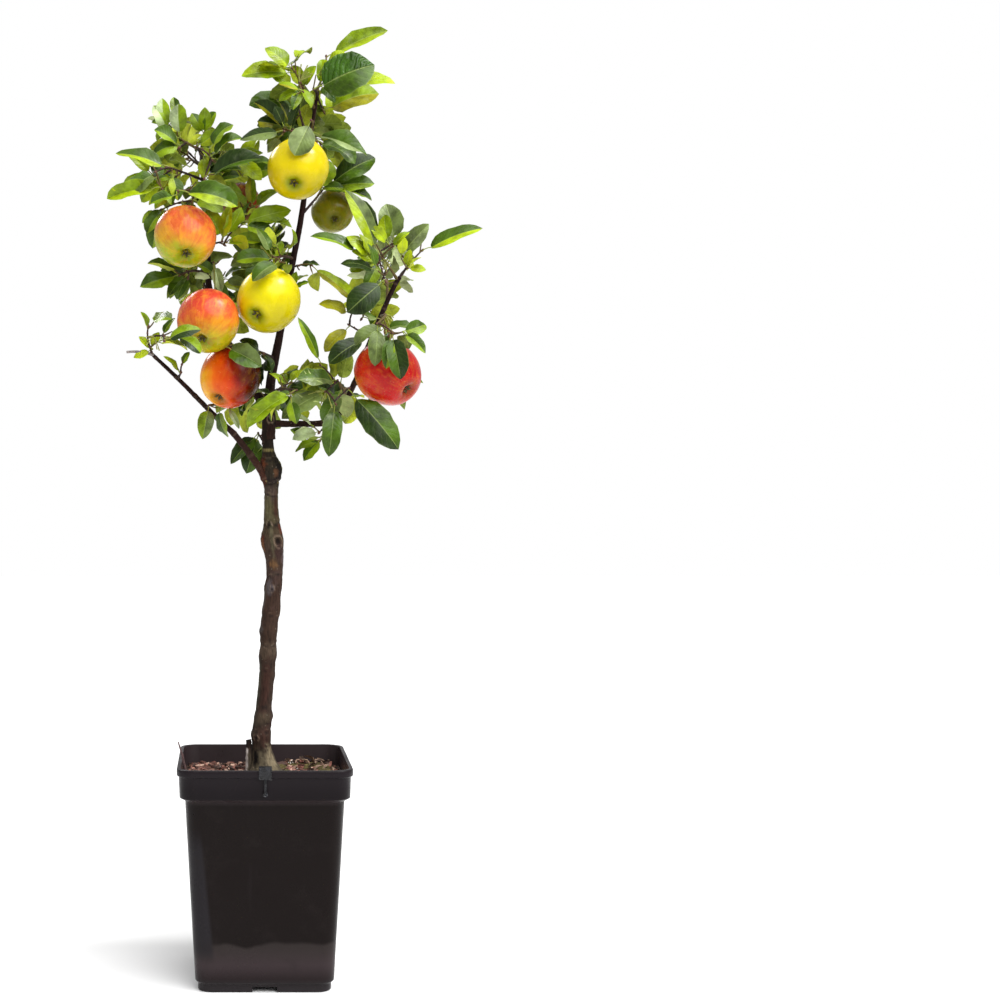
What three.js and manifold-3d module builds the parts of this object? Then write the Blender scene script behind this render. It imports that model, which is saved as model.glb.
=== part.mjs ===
// Dwarf apple tree, grafted low and grown in a square plastic nursery pot.
// Millimetres, +Z up, front towards -Y. The origin is the middle of the pot's
// flat underside. The tree is a knotty trunk that runs up into its leader,
// three main boughs, and masses of foliage that hang their fruit on short
// spurs. Nothing moves.

import * as THREE from "three";
import { mergeVertices } from "three/addons/utils/BufferGeometryUtils.js";
import Module from "manifold-3d";

const wasm = await Module();
wasm.setup();

// ---- Driving sizes ----------------------------------------------------------

const GAP = 0.3; // between two pieces that rest on or grow from each other

const pot = {
  height: 245,
  lip: 192, // width over the rolled lip
  lipDepth: 8.5,
  lipTop: 189.5,
  collarTop: 187.5,
  collarFoot: 209, // height at which the collar steps in to the body
  collarStep: 4,
  collarBottom: 186,
  bodyTop: 174,
  bodyBottom: 152,
  foot: 146, // width of the ring that it stands on
  footHeight: 9.5,
  wall: 2.2,
  floor: 8.5,
  corner: 17, // corner radius of the body
};
const drain = { width: 27, height: 6, inner: 30, hole: 5.5, holeAt: 42 };
const soilTop = 230;
const soilCrown = 1.8; // how much the soil stands up between its middle and its edge

const trunk = {
  // the axis from the soil to the leader's tip
  axis: [
    [-1, 0, soilTop + GAP], [-2, 0, 270], [4, 0, 341], [7, 0, 396], [13, 0, 461], [9, 0, 523],
    [9, 0, 563], [5, 2, 602], [8, 4, 665], [19, 4, 725], [31, 4, 793], [45, 4, 869], [55, 4, 956],
    [62, 4, 999],
  ],
  // radius at each height
  taper: [
    [230, 9.6], [270, 10.2], [320, 7.8], [400, 8.6], [460, 8.9], [535, 7.6], [600, 6.5],
    [700, 5.1], [726, 4.2], [842, 3.4], [1000, 1.9],
  ],
  flare: { swell: 6, fade: 8 }, // the root flare at the soil
  // old graft and pruning knots: height, swelling, spread, and the side they stand out on
  knots: [
    [295, 0.9, 5, 200], [358, 1.4, 7, 20], [386, 1.5, 6, 180], [436, 1.1, 6, 0], [488, 4.4, 15, 180],
    [560, 5.2, 10, 0], [577, 4.2, 9, 160], [626, 4.6, 11, 30],
  ],
  sides: 10,
  rings: 38,
};
const snag = { at: [-14, -3], radius: 3.8, top: 263 }; // cut stub beside the trunk's foot

// boughs: the axis leaves the middle of what carries it
const boughs = {
  left_lower_bough: {
    axis: [[2, 0, 562], [-30, -14, 606], [-51, -24, 626], [-92, -38, 667], [-124, -48, 697]],
    radii: [4.6, 2],
  },
  left_upright_bough: {
    axis: [
      [4, 4, 632], [-21, 20, 683], [-47, 26, 729], [-61, 24, 777], [-63, 22, 807], [-66, 16, 876],
      [-70, 10, 928], [-66, 8, 952],
    ],
    radii: [5, 1.9],
  },
  right_bough: {
    axis: [
      [6, 4, 620], [30, 6, 622], [67, 10, 623], [85, 12, 632], [106, 16, 673], [120, 18, 711],
      [136, 18, 749], [149, 16, 778], [156, 14, 790],
    ],
    radii: [3.8, 2.5],
  },
};
const boughSides = 7;
const boughStep = 19; // length of one step along a bough

// what a spur carries: leaves spread evenly over a fan in the front view, in degrees from +X
// towards +Z, and some more behind them; a lone leaf has one angle
const spur = (at, from, to, leaves, length, breadth = 1) => ({ at, from, to, leaves, length, breadth });
const lone = (at, angle, length, breadth) => spur(at, angle, angle, 1, length, breadth);
// a fruit: centre, radius, and the way its eye points
const apple = (at, radius, eye) => ({ at, radius, eye });

// masses of foliage: the limb that carries each, the height of its stem's foot, its seed
const masses = {
  top_right_foliage: {
    limb: "trunk", foot: 997, seed: 11,
    spurs: [
      lone([55, -34, 992], 22, 71, 1.6), lone([72, 16, 1041], 22, 75),
      lone([84, 30, 1012], 2, 67, 1.1), lone([69, 12, 978], 14, 64, 1.3),
      lone([64, -6, 1003], 85, 34, 1.3),
    ],
  },
  top_left_foliage: {
    limb: "trunk", foot: 979, seed: 12,
    spurs: [
      lone([35, -26, 1013], 184, 58, 1.2), spur([31, -36, 1015], 142, 172, 2, 42, 1.2),
      spur([44, -14, 999], 62, 118, 2, 31, 1.1), spur([43, -38, 989], 165, 292, 4, 30),
    ],
  },
  shoulder_foliage: {
    limb: "trunk", foot: 954, seed: 13,
    spurs: [
      lone([25, -6, 952], 140, 50), lone([41, 20, 985], 181, 64),
      lone([22, -38, 945], 192, 51, 1.1), lone([30, -30, 947], 72, 31),
    ],
  },
  upper_yellow_apple: {
    limb: "trunk", foot: 945, seed: 14,
    fruit: apple([37, -48, 901], 34, [-0.18, -0.74, -0.65]),
    spurs: [
      lone([50, -80, 948], 250, 37, 1.6), lone([53, -36, 943], -16, 62, 1.1),
      lone([59, -10, 940], -34, 52),
    ],
  },
  green_apple: {
    limb: "trunk", foot: 859, seed: 15,
    fruit: apple([81, 42, 869], 25, [0.05, -0.84, -0.55]),
    spurs: [spur([72, 20, 895], 26, -12, 3, 62)],
  },
  left_crown_upper: {
    limb: "left_upright_bough", foot: 932, seed: 16,
    spurs: [
      lone([-109, 30, 959], 120, 37, 1.1), spur([-98, 36, 972], 95, 155, 2, 30),
      spur([-95, 16, 938], 150, 200, 2, 36, 1.1),
    ],
  },
  left_crown_lower: {
    limb: "left_upright_bough", foot: 900, seed: 17,
    spurs: [
      lone([-104, -46, 903], 166, 62, 1.1), lone([-119, -60, 896], 222, 39),
      lone([-113, -52, 879], 201, 62), spur([-116, -30, 893], 190, 230, 2, 40),
      spur([-97, -26, 883], 225, 262, 2, 38),
    ],
  },
  left_crown_top: {
    limb: "left_upright_bough", foot: 948, seed: 18,
    spurs: [spur([-67, 2, 951], 62, 118, 3, 31, 1.1)],
  },
  left_crown_inner: {
    limb: "left_upright_bough", foot: 920, seed: 19,
    spurs: [
      lone([-76, -24, 930], 32, 36), spur([-58, -36, 914], -8, 28, 2, 44),
      lone([-47, -14, 905], 20, 52), spur([-29, 10, 912], 10, 50, 2, 41),
      lone([-15, 14, 913], 73, 46, 1.1), lone([-66, -40, 893], 16, 64),
    ],
  },
  upper_blush_apple: {
    limb: "left_upright_bough", foot: 879, seed: 20,
    fruit: apple([-87, -60, 824], 34, [0.05, -0.71, -0.7]),
    spurs: [
      lone([-94, -78, 872], -17, 63, 1.2), spur([-80, -30, 869], -22, -40, 2, 38),
      spur([-114, -16, 862], 255, 235, 2, 43, 1.1),
    ],
  },
  centre_left_foliage: {
    limb: "left_upright_bough", foot: 820, seed: 21,
    fruit: apple([-26, 26, 876], 23, [0.0, -0.8, -0.6]),
    spurs: [
      lone([-47, -34, 823], 70, 44, 0.8), lone([-45, -26, 821], 4, 45),
      spur([-24, -26, 847], -6, 14, 2, 60, 0.8), spur([-11, 4, 868], 30, 150, 3, 36),
    ],
  },
  centre_left_spur: {
    limb: "trunk", foot: 809, seed: 22,
    spurs: [
      lone([13, -44, 802], 183, 46, 1.1), lone([16, -80, 795], 222, 39, 1.2),
      spur([23, -10, 807], 138, 160, 2, 38), spur([-2, -16, 801], 150, 222, 3, 38, 1.1),
    ],
  },
  centre_right_spur: {
    limb: "trunk", foot: 798, seed: 23,
    spurs: [lone([39, -14, 799], 0, 25), lone([52, -20, 799], -34, 60, 0.8)],
  },
  lower_yellow_apple: {
    limb: "trunk", foot: 773, seed: 24,
    fruit: apple([4, -54, 755], 35, [-0.43, -0.72, -0.55]),
    spurs: [spur([34, -18, 774], 20, 80, 2, 20)],
  },
  middle_blush_apple: {
    limb: "left_upright_bough", foot: 761, seed: 25,
    fruit: apple([-62, -76, 730], 34, [-0.21, -0.7, -0.68]),
    spurs: [lone([-56, -20, 801], 288, 34), spur([-47, 4, 786], 20, 280, 3, 32)],
  },
  left_side_spur: {
    limb: "left_upright_bough", foot: 795, seed: 26,
    spurs: [lone([-94, -24, 787], 197, 45, 1.2), spur([-85, -6, 787], 170, 230, 3, 36)],
  },
  lower_blush_apple: {
    limb: "trunk", foot: 696, seed: 27,
    fruit: apple([-38, -48, 668], 34, [-0.39, -0.61, -0.69]),
    spurs: [lone([-42, -74, 700], -30, 46, 1.3), spur([-2, -28, 700], 150, 300, 3, 30)],
  },
  left_tip_foliage: {
    limb: "left_lower_bough", foot: 698, seed: 28,
    spurs: [
      spur([-126, -52, 704], 60, 200, 3, 20), lone([-128, -56, 725], 112, 20),
      lone([-112, -60, 716], 50, 24), lone([-100, -114, 699], 26, 38, 1.1),
    ],
  },
  left_bough_upper_spur: {
    limb: "left_lower_bough", foot: 671, seed: 29,
    spurs: [lone([-92, -50, 676], 138, 26), lone([-91, -56, 684], 60, 20)],
  },
  left_bough_lower_spur: {
    limb: "left_lower_bough", foot: 639, seed: 30,
    spurs: [lone([-62, -42, 635], 258, 35, 1.1), lone([-50, -34, 630], 290, 29)],
  },
  fork_foliage: {
    limb: "trunk", foot: 596, seed: 31,
    spurs: [spur([-5, 34, 612], 225, 255, 2, 48)],
  },
  front_foliage: {
    limb: "trunk", foot: 657, seed: 32,
    spurs: [lone([33, -72, 650], 218, 74, 0.8), spur([29, -16, 667], 35, 150, 2, 25)],
  },
  lower_right_foliage: {
    limb: "right_bough", foot: 650, seed: 33,
    spurs: [
      lone([83, -24, 669], 188, 60), lone([69, -36, 657], 212, 62),
      lone([78, -56, 642], 262, 61, 1.05), lone([100, -60, 645], -48, 81, 1.15),
      lone([64, -24, 686], 118, 60, 0.42),
    ],
  },
  low_right_spur: {
    limb: "right_bough", foot: 625, seed: 34,
    spurs: [lone([63, -14, 612], 198, 34), spur([65, 10, 603], 205, 230, 2, 32)],
  },
  crimson_apple: {
    limb: "right_bough", foot: 745, seed: 35,
    fruit: apple([136, -56, 675], 36, [0.58, -0.56, -0.58]),
    spurs: [lone([122, -80, 728], 262, 50, 0.8), spur([136, -98, 713], 262, 284, 2, 45, 0.8)],
  },
  right_inner_foliage: {
    limb: "right_bough", foot: 722, seed: 36,
    spurs: [
      lone([115, -36, 717], 218, 53, 1.1), lone([96, -24, 731], 228, 42, 0.8),
      lone([99, -20, 745], 165, 40),
    ],
  },
  right_top_foliage: {
    limb: "right_bough", foot: 786, seed: 37,
    spurs: [
      lone([130, -16, 810], 121, 83, 0.6), lone([133, 8, 818], 118, 68, 0.8),
      lone([109, -26, 812], 163, 70, 0.85), lone([151, 10, 829], 104, 49, 1.4),
      lone([145, -6, 821], 38, 29), lone([159, 20, 815], 45, 48),
      lone([135, -34, 780], 222, 56, 1.1), spur([128, -22, 801], 160, 240, 3, 34),
    ],
  },
  right_tip_foliage: {
    limb: "right_bough", foot: 789, seed: 38,
    spurs: [lone([182, 26, 821], 23, 80, 0.8), spur([164, 8, 799], -10, 80, 3, 23)],
  },
  back_top_foliage: {
    limb: "trunk", foot: 932, seed: 39,
    spurs: [spur([42, 76, 978], 60, 200, 4, 49), spur([69, 90, 958], -45, 25, 4, 50)],
  },
  back_left_foliage: {
    limb: "left_upright_bough", foot: 915, seed: 40,
    spurs: [spur([-88, 100, 950], 95, 225, 4, 50), spur([-54, 122, 913], -40, 80, 4, 51)],
  },
  back_left_low_foliage: {
    limb: "left_upright_bough", foot: 750, seed: 41,
    spurs: [spur([-78, 98, 810], 120, 245, 4, 50), spur([-49, 112, 747], 150, 330, 4, 46)],
  },
  back_centre_foliage: {
    limb: "trunk", foot: 761, seed: 42,
    spurs: [spur([10, 108, 832], 60, 215, 4, 50), spur([1, 128, 775], 160, 320, 4, 51)],
  },
  back_right_foliage: {
    limb: "right_bough", foot: 761, seed: 43,
    spurs: [spur([146, 98, 817], 50, 185, 4, 52), spur([108, 104, 746], 150, 280, 4, 50)],
  },
  back_low_foliage: {
    limb: "trunk", foot: 648, seed: 44,
    spurs: [spur([-14, 92, 662], 140, 260, 4, 50), spur([52, 104, 663], -50, 60, 4, 50)],
  },
  back_right_low_foliage: {
    limb: "right_bough", foot: 652, seed: 45,
    spurs: [spur([105, 90, 666], 150, 262, 4, 54), spur([147, 108, 687], -60, 80, 3, 48)],
  },
};

// the growth rule
const growth = {
  stemRadius: 2.4,
  tipRadius: 1.6,
  bow: 0.14, // sideways bow of a twig, as a share of its length
  twigSteps: 2,
  behind: 0.5, // leaves behind a fan, as a share of the leaves in it
  behindSize: 0.9,
  backOfCrown: 40, // past this depth a spur faces the back
  tries: 6,
  stalk: 0.16, // a leaf's stalk, as a share of the leaf's length
  width: 0.57, // a blade's width, as a share of the leaf's length
  droop: 0.6, // how far a blade bends down over its length, in radians
  limbRoom: 2.4, // clear distances to limbs, fruit, twigs and leaves
  fruitRoom: 2,
  twigRoom: 2,
  leafRoom: 5,
  crowding: 2.4, // the same, between leaves of one mass
};
const blade = {
  stations: [0.34, 0.7], // where along it the outline is set out
  keel: 1.3, // depth of the midrib under the blade
  root: 0.5, // half the stalk's width at the twig and at the blade
  neck: 0.9,
};
const nodeSpacing = 3; // between the leaves of a spur, back along its twig

// ---- Numbers ----------------------------------------------------------------

const vec = (list) => new THREE.Vector3(list[0], list[1], list[2]);
const radians = (degrees) => (degrees * Math.PI) / 180;

function seeded(seed) {
  let state = (seed * 7919) >>> 0;
  const draw = () => {
    state = (Math.imul(state, 1664525) + 1013904223) >>> 0;
    return state / 4294967296;
  };
  draw();
  draw();
  return draw;
}

// value between the stations of a table of [place, value]
function along(table, place) {
  const next = table.findIndex(([station]) => station > place);
  if (next === 0) {
    return table[0][1];
  }
  if (next < 0) {
    return table[table.length - 1][1];
  }
  const [p0, v0] = table[next - 1];
  const [p1, v1] = table[next];
  return v0 + ((v1 - v0) * (place - p0)) / (p1 - p0);
}

const smoothCurve = (axis) => new THREE.CatmullRomCurve3(axis.map(vec), false, "catmullrom", 0.5);

// ---- Closed meshes ----------------------------------------------------------

// a solid from shared points and triangles, turned to face outwards
function solidFrom(points, triangles) {
  let volume = 0;
  for (const [a, b, c] of triangles) {
    volume += points[a].dot(new THREE.Vector3().crossVectors(points[b], points[c]));
  }
  const facing = volume > 0 ? triangles : triangles.map(([a, b, c]) => [a, c, b]);
  const mesh = new wasm.Mesh({
    numProp: 3,
    vertProperties: new Float32Array(points.flatMap((p) => [p.x, p.y, p.z])),
    triVerts: new Uint32Array(facing.flat()),
  });
  return new wasm.Manifold(mesh);
}

// a skin over rings of equal count, closed at each end by a flat cap or drawn to a point
function skin(rings, endPoint = null) {
  const count = rings[0].length;
  const points = rings.flat();
  const triangles = [];
  for (let r = 0; r + 1 < rings.length; r++) {
    for (let i = 0; i < count; i++) {
      const a = r * count + i;
      const b = r * count + ((i + 1) % count);
      triangles.push([a, b, b + count], [a, b + count, a + count]);
    }
  }
  for (let i = 1; i + 1 < count; i++) {
    triangles.push([0, i + 1, i]);
  }
  const last = (rings.length - 1) * count;
  if (endPoint) {
    points.push(endPoint);
    for (let i = 0; i < count; i++) {
      triangles.push([last + i, last + ((i + 1) % count), points.length - 1]);
    }
  } else {
    for (let i = 1; i + 1 < count; i++) {
      triangles.push([last, last + i, last + i + 1]);
    }
  }
  return solidFrom(points, triangles);
}

// a solid from one of three's own closed geometries
function solidOf(geometry) {
  const plain = geometry.clone();
  plain.deleteAttribute("normal");
  plain.deleteAttribute("uv");
  const merged = mergeVertices(plain, 1e-4);
  const place = merged.attributes.position;
  const points = [];
  for (let i = 0; i < place.count; i++) {
    points.push(new THREE.Vector3().fromBufferAttribute(place, i));
  }
  const triangles = [];
  for (let i = 0; i < merged.index.count; i += 3) {
    const [a, b, c] = [0, 1, 2].map((k) => merged.index.getX(i + k));
    if (a !== b && b !== c && c !== a) {
      triangles.push([a, b, c]);
    }
  }
  return solidFrom(points, triangles);
}

// the one body that matters, with sealed pockets filled and loose scraps dropped
function mainBody(solid) {
  const bodies = solid.decompose();
  return bodies.reduce((best, body) => (body.volume() > best.volume() ? body : best));
}

function meshOf(name, solid, material) {
  const { vertProperties, triVerts } = solid.getMesh();
  const geometry = new THREE.BufferGeometry();
  geometry.setAttribute("position", new THREE.BufferAttribute(new Float32Array(vertProperties), 3));
  geometry.setIndex(new THREE.BufferAttribute(new Uint32Array(triVerts), 1));
  geometry.computeVertexNormals();
  const mesh = new THREE.Mesh(geometry, material);
  mesh.name = name;
  return mesh;
}

// a tube of changing radius along points, its rings carried along without twist
function tube(path, radii, sides) {
  const rings = [];
  let across = new THREE.Vector3();
  for (let i = 0; i < path.length; i++) {
    const before = path[Math.max(i - 1, 0)];
    const after = path[Math.min(i + 1, path.length - 1)];
    const ahead = new THREE.Vector3().subVectors(after, before).normalize();
    if (i === 0) {
      const steep = Math.abs(ahead.y) > 0.8 ? new THREE.Vector3(0, 0, 1) : new THREE.Vector3(0, 1, 0);
      across.crossVectors(ahead, steep).normalize();
    } else {
      across.addScaledVector(ahead, -across.dot(ahead)).normalize();
    }
    const other = new THREE.Vector3().crossVectors(ahead, across);
    const ring = [];
    for (let s = 0; s < sides; s++) {
      const turn = (2 * Math.PI * s) / sides;
      const point = path[i].clone();
      point.addScaledVector(across, radii[i] * Math.cos(turn));
      point.addScaledVector(other, radii[i] * Math.sin(turn));
      ring.push(point);
    }
    rings.push(ring);
  }
  return skin(rings);
}

// ---- Pot, soil and rim clip ---------------------------------------------------

const cornerSteps = 5;

// one level of a square with rounded corners
function roundedSquare(width, corner, z) {
  const ring = [];
  const reach = width / 2 - corner;
  for (let quarter = 0; quarter < 4; quarter++) {
    const middle = Math.PI / 4 + (quarter * Math.PI) / 2;
    const cx = reach * Math.sign(Math.cos(middle));
    const cy = reach * Math.sign(Math.sin(middle));
    for (let i = 0; i <= cornerSteps; i++) {
      const turn = (Math.PI / 2) * (quarter + i / cornerSteps);
      ring.push(new THREE.Vector3(cx + corner * Math.cos(turn), cy + corner * Math.sin(turn), z));
    }
  }
  return ring;
}

const inside = (width) => width - 2 * pot.wall;
const insideWidths = [
  [pot.floor, inside(pot.bodyBottom)],
  [pot.collarFoot + pot.wall, inside(pot.bodyTop)],
  [pot.collarFoot + pot.collarStep + pot.wall, inside(pot.collarBottom)],
  [pot.height, inside(pot.collarTop)],
];

function makePot() {
  const outside = [
    [pot.foot - 2, 0],
    [pot.foot, 1.5],
    [pot.foot, pot.footHeight - 1.5],
    [pot.bodyBottom, pot.footHeight + 2],
    [pot.bodyTop, pot.collarFoot],
    [pot.collarBottom, pot.collarFoot + pot.collarStep],
    [pot.collarTop, pot.height - pot.lipDepth],
    [pot.lip, pot.height - pot.lipDepth + 1],
    [pot.lip, pot.height - 2.5],
    [pot.lipTop, pot.height],
  ];
  const rings = outside.map(([width, z]) => roundedSquare(width, pot.corner, z));
  for (const [z, width] of [...insideWidths].reverse()) {
    rings.push(roundedSquare(width, pot.corner - pot.wall, z));
  }
  let body = skin(rings);
  const reach = pot.bodyBottom / 2 - drain.inner;
  for (let side = 0; side < 4; side++) {
    const channel = new THREE.BoxGeometry(reach, drain.width, drain.height * 2);
    channel.translate(drain.inner + reach / 2, 0, 0);
    channel.rotateZ((side * Math.PI) / 2);
    const hole = new THREE.CylinderGeometry(drain.hole, drain.hole, pot.floor * 4, 10);
    hole.rotateX(Math.PI / 2);
    hole.translate(drain.holeAt, 0, 0);
    hole.rotateZ((side * Math.PI) / 2);
    body = body.subtract(solidOf(channel)).subtract(solidOf(hole));
  }
  return body;
}

function makeSoil() {
  const corner = pot.corner - pot.wall - GAP;
  const widthAt = (z) => along(insideWidths, z) - 2 * GAP;
  const levels = [pot.floor + GAP, ...insideWidths.slice(1, 3).map(([z]) => z), soilTop];
  const rings = levels.map((z) => roundedSquare(widthAt(z), corner, z));
  rings.push(roundedSquare(widthAt(soilTop) * 0.62, corner, soilTop + soilCrown));
  rings.push(roundedSquare(44, 12, soilTop));
  return skin(rings);
}

// a plastic label clip hooked over the front of the rim, with a narrow tail and a stud
const clip = { width: 14, thick: 1.5, crown: 254, tail: 4, tailFoot: 220, stud: 3.6, studDepth: 2 };

function makeClip() {
  const outer = pot.lip / 2 + GAP + clip.thick; // distance of its front face from the middle
  const inner = pot.collarBottom / 2 - pot.wall - GAP - clip.thick - 1;
  const radius = (outer - inner) / 2;
  const spring = clip.crown - radius;
  const hook = new THREE.Shape();
  hook.moveTo(inner, soilTop + soilCrown + GAP);
  hook.lineTo(inner, spring);
  hook.absarc(inner + radius, spring, radius, Math.PI, 0, true);
  hook.lineTo(outer, pot.height - pot.lipDepth - 1);
  hook.lineTo(outer - clip.thick, pot.height - pot.lipDepth - 1);
  hook.lineTo(outer - clip.thick, spring);
  hook.absarc(inner + radius, spring, radius - clip.thick, 0, Math.PI, false);
  hook.lineTo(inner + clip.thick, soilTop + soilCrown + GAP);
  const band = new THREE.ExtrudeGeometry(hook, {
    depth: clip.width,
    bevelEnabled: false,
    curveSegments: 6,
  });
  band.translate(0, 0, -clip.width / 2);
  // the outline's x runs forwards and its y up
  const lay = new THREE.Matrix4().makeBasis(
    new THREE.Vector3(0, -1, 0),
    new THREE.Vector3(0, 0, 1),
    new THREE.Vector3(-1, 0, 0),
  );
  band.applyMatrix4(lay);
  const tailTop = pot.height - pot.lipDepth;
  const tail = new THREE.BoxGeometry(clip.tail, clip.thick, tailTop - clip.tailFoot);
  tail.translate(0, -outer + clip.thick / 2, (tailTop + clip.tailFoot) / 2);
  const stud = new THREE.CylinderGeometry(clip.stud, clip.stud, clip.studDepth, 12);
  stud.translate(0, -outer + clip.studDepth / 2 - 0.4, clip.tailFoot);
  return solidOf(band).add(solidOf(tail)).add(solidOf(stud));
}

// ---- Trunk and boughs -----------------------------------------------------------

const trunkCurve = smoothCurve(trunk.axis);

function trunkRadius(z, turn) {
  let radius = along(trunk.taper, z);
  radius += trunk.flare.swell * Math.exp(-(z - soilTop) / trunk.flare.fade);
  for (const [height, swell, spread, side] of trunk.knots) {
    const share = 0.6 + 0.4 * Math.cos(turn - radians(side));
    radius += swell * share * Math.exp(-(((z - height) / spread) ** 2));
  }
  return radius;
}

// level rings up the trunk's axis, so that its foot is cut flat at the soil
function makeTrunk(grown = 0) {
  const rings = [];
  for (let i = 0; i <= trunk.rings; i++) {
    const middle = trunkCurve.getPoint(i / trunk.rings);
    const ring = [];
    for (let s = 0; s < trunk.sides; s++) {
      const turn = (2 * Math.PI * s) / trunk.sides;
      const radius = trunkRadius(middle.z, turn) + grown;
      const around = new THREE.Vector3(Math.cos(turn), Math.sin(turn), 0);
      ring.push(middle.clone().addScaledVector(around, radius));
    }
    rings.push(ring);
  }
  const body = skin(rings);
  const height = snag.top - soilTop - GAP;
  const stub = new THREE.CylinderGeometry(snag.radius * 0.8 + grown, snag.radius + grown, height, 8);
  stub.rotateX(Math.PI / 2);
  stub.translate(snag.at[0], snag.at[1], soilTop + GAP + height / 2);
  return body.add(solidOf(stub));
}

const boughCurves = Object.fromEntries(
  Object.entries(boughs).map(([name, bough]) => [name, smoothCurve(bough.axis)]),
);

const boughRadius = (name, t) => THREE.MathUtils.lerp(...boughs[name].radii, t);

function makeBough(name, grown = 0) {
  const curve = boughCurves[name];
  const steps = Math.ceil(curve.getLength() / boughStep);
  const path = [];
  const radii = [];
  for (let i = 0; i <= steps; i++) {
    path.push(curve.getPoint(i / steps));
    radii.push(boughRadius(name, i / steps) + grown);
  }
  return tube(path, radii, boughSides);
}

// ---- Growth of a mass -------------------------------------------------------------

// what a leaf must stay clear of: balls along the limbs, fruit, and what has grown
const limbBalls = [];
for (let i = 0; i <= 160; i++) {
  const at = trunkCurve.getPoint(i / 160);
  limbBalls.push({ at, radius: trunkRadius(at.z, 0) });
}
for (const name of Object.keys(boughs)) {
  for (let i = 0; i <= 60; i++) {
    limbBalls.push({ at: boughCurves[name].getPoint(i / 60), radius: boughRadius(name, i / 60) });
  }
}
const fruitBalls = Object.values(masses)
  .filter((mass) => mass.fruit)
  .map((mass) => ({ at: vec(mass.fruit.at), radius: mass.fruit.radius }));
const twigBalls = [];
const leafSpots = [];

// the point of a limb's axis at a height
function limbAt(limb, height) {
  const curve = limb === "trunk" ? trunkCurve : boughCurves[limb];
  let low = 0;
  let high = 1;
  for (let i = 0; i < 30; i++) {
    const middle = (low + high) / 2;
    if (curve.getPoint(middle).z < height) {
      low = middle;
    } else {
      high = middle;
    }
  }
  return curve.getPoint(low);
}

// a twig bowed gently off the straight line
function growTwig(start, end, startRadius, endRadius, draw) {
  const reach = start.distanceTo(end);
  const bend = new THREE.Vector3().lerpVectors(start, end, 0.5);
  bend.x += (draw() - 0.5) * 2 * growth.bow * reach;
  bend.y += (draw() - 0.5) * 2 * growth.bow * reach;
  bend.z += (0.3 + 0.7 * draw()) * growth.bow * reach;
  const curve = new THREE.QuadraticBezierCurve3(start, bend, end);
  return { curve, radii: [startRadius, endRadius], reach };
}

const nearestSpot = (spots, point) =>
  spots.reduce((a, b) => (a && a.at.distanceTo(point) < b.at.distanceTo(point) ? a : b), null);

// twigs of a mass: each next one leaves the nearest point of what has grown clear of the limb
function growWood(mass) {
  const draw = seeded(mass.seed);
  const foot = limbAt(mass.limb, mass.foot);
  const twigs = [];
  const spots = [];
  for (const { at } of mass.spurs) {
    const end = vec(at);
    const near = nearestSpot(spots, end) ?? { at: foot, radius: growth.stemRadius };
    const twig = growTwig(near.at, end, near.radius, growth.tipRadius, draw);
    twigs.push(twig);
    for (let i = 1; i <= 8; i++) {
      const radius = THREE.MathUtils.lerp(...twig.radii, i / 8);
      const spot = twig.curve.getPoint(i / 8);
      if (!tooNear([spot], limbBalls, radius + GAP)) {
        spots.push({ at: spot, radius });
      }
    }
  }
  return { twigs, spots };
}

// the stalk of a fruit runs from the nearest twig into the hollow opposite its eye
function growStalk(mass, wood) {
  const { at, radius, eye } = mass.fruit;
  const middle = vec(at);
  const out = vec(eye).normalize().negate();
  const hollow = middle.clone().addScaledVector(out, radius * 0.7);
  const above = middle.clone().addScaledVector(out, radius * 1.25);
  const near = nearestSpot(wood.spots, above);
  const curve = new THREE.QuadraticBezierCurve3(near.at, above, hollow);
  return { curve, radii: [1.4, 1.5], reach: near.at.distanceTo(hollow) };
}

// the frame of one leaf: where it starts, its way out, its side and its upper face
function leafFrame(start, angle, depth, roll, facing, length, width) {
  const out = new THREE.Vector3(
    Math.cos(depth) * Math.cos(angle),
    Math.sin(depth),
    Math.cos(depth) * Math.sin(angle),
  );
  const up = facing.clone().addScaledVector(out, -facing.dot(out)).normalize();
  up.applyAxisAngle(out, roll);
  const side = new THREE.Vector3().crossVectors(out, up);
  const foot = start.clone().addScaledVector(out, length * growth.stalk);
  // the blade starts above its line and droops through it, so that its tip lies on the line
  out.applyAxisAngle(side, growth.droop / 2);
  up.applyAxisAngle(side, growth.droop / 2);
  return { start, foot, out, up, side, length: length * (1 - growth.stalk), width: length * width };
}

const leafOutline = (t) => Math.sin(Math.PI * t ** 0.85) ** 0.75;

// a point of the blade: t along it, u across it from -1 to 1, and so far above it
function bladePoint(frame, t, u, above = 0) {
  const bend = growth.droop * t;
  const forward = (frame.length * Math.sin(bend)) / growth.droop;
  const down = (frame.length * (1 - Math.cos(bend))) / growth.droop;
  const half = (frame.width * leafOutline(t)) / 2;
  const point = frame.foot.clone();
  point.addScaledVector(frame.out, forward + above * Math.sin(bend));
  point.addScaledVector(frame.up, above * Math.cos(bend) - down);
  return point.addScaledVector(frame.side, u * half);
}

const spotsOfBlade = (frame) => [
  [0.15, 0], [0.4, 0], [0.65, 0], [0.95, 0], [0.36, -0.9], [0.36, 0.9], [0.72, -0.9], [0.72, 0.9],
].map(([t, u]) => bladePoint(frame, t, u));

const tooNear = (points, balls, room) =>
  balls.some((ball) => points.some((p) => p.distanceTo(ball.at) < ball.radius + room));

function leafIsClear(points, mass) {
  const others = leafSpots.filter((spot) => spot.mass !== mass);
  const own = leafSpots.filter((spot) => spot.mass === mass);
  return !(
    tooNear(points, limbBalls, growth.limbRoom) ||
    tooNear(points, fruitBalls, growth.fruitRoom) ||
    tooNear(points, twigBalls.filter((ball) => ball.mass !== mass), growth.twigRoom) ||
    tooNear(points, others, growth.leafRoom) ||
    tooNear(points, own, growth.crowding)
  );
}

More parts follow.
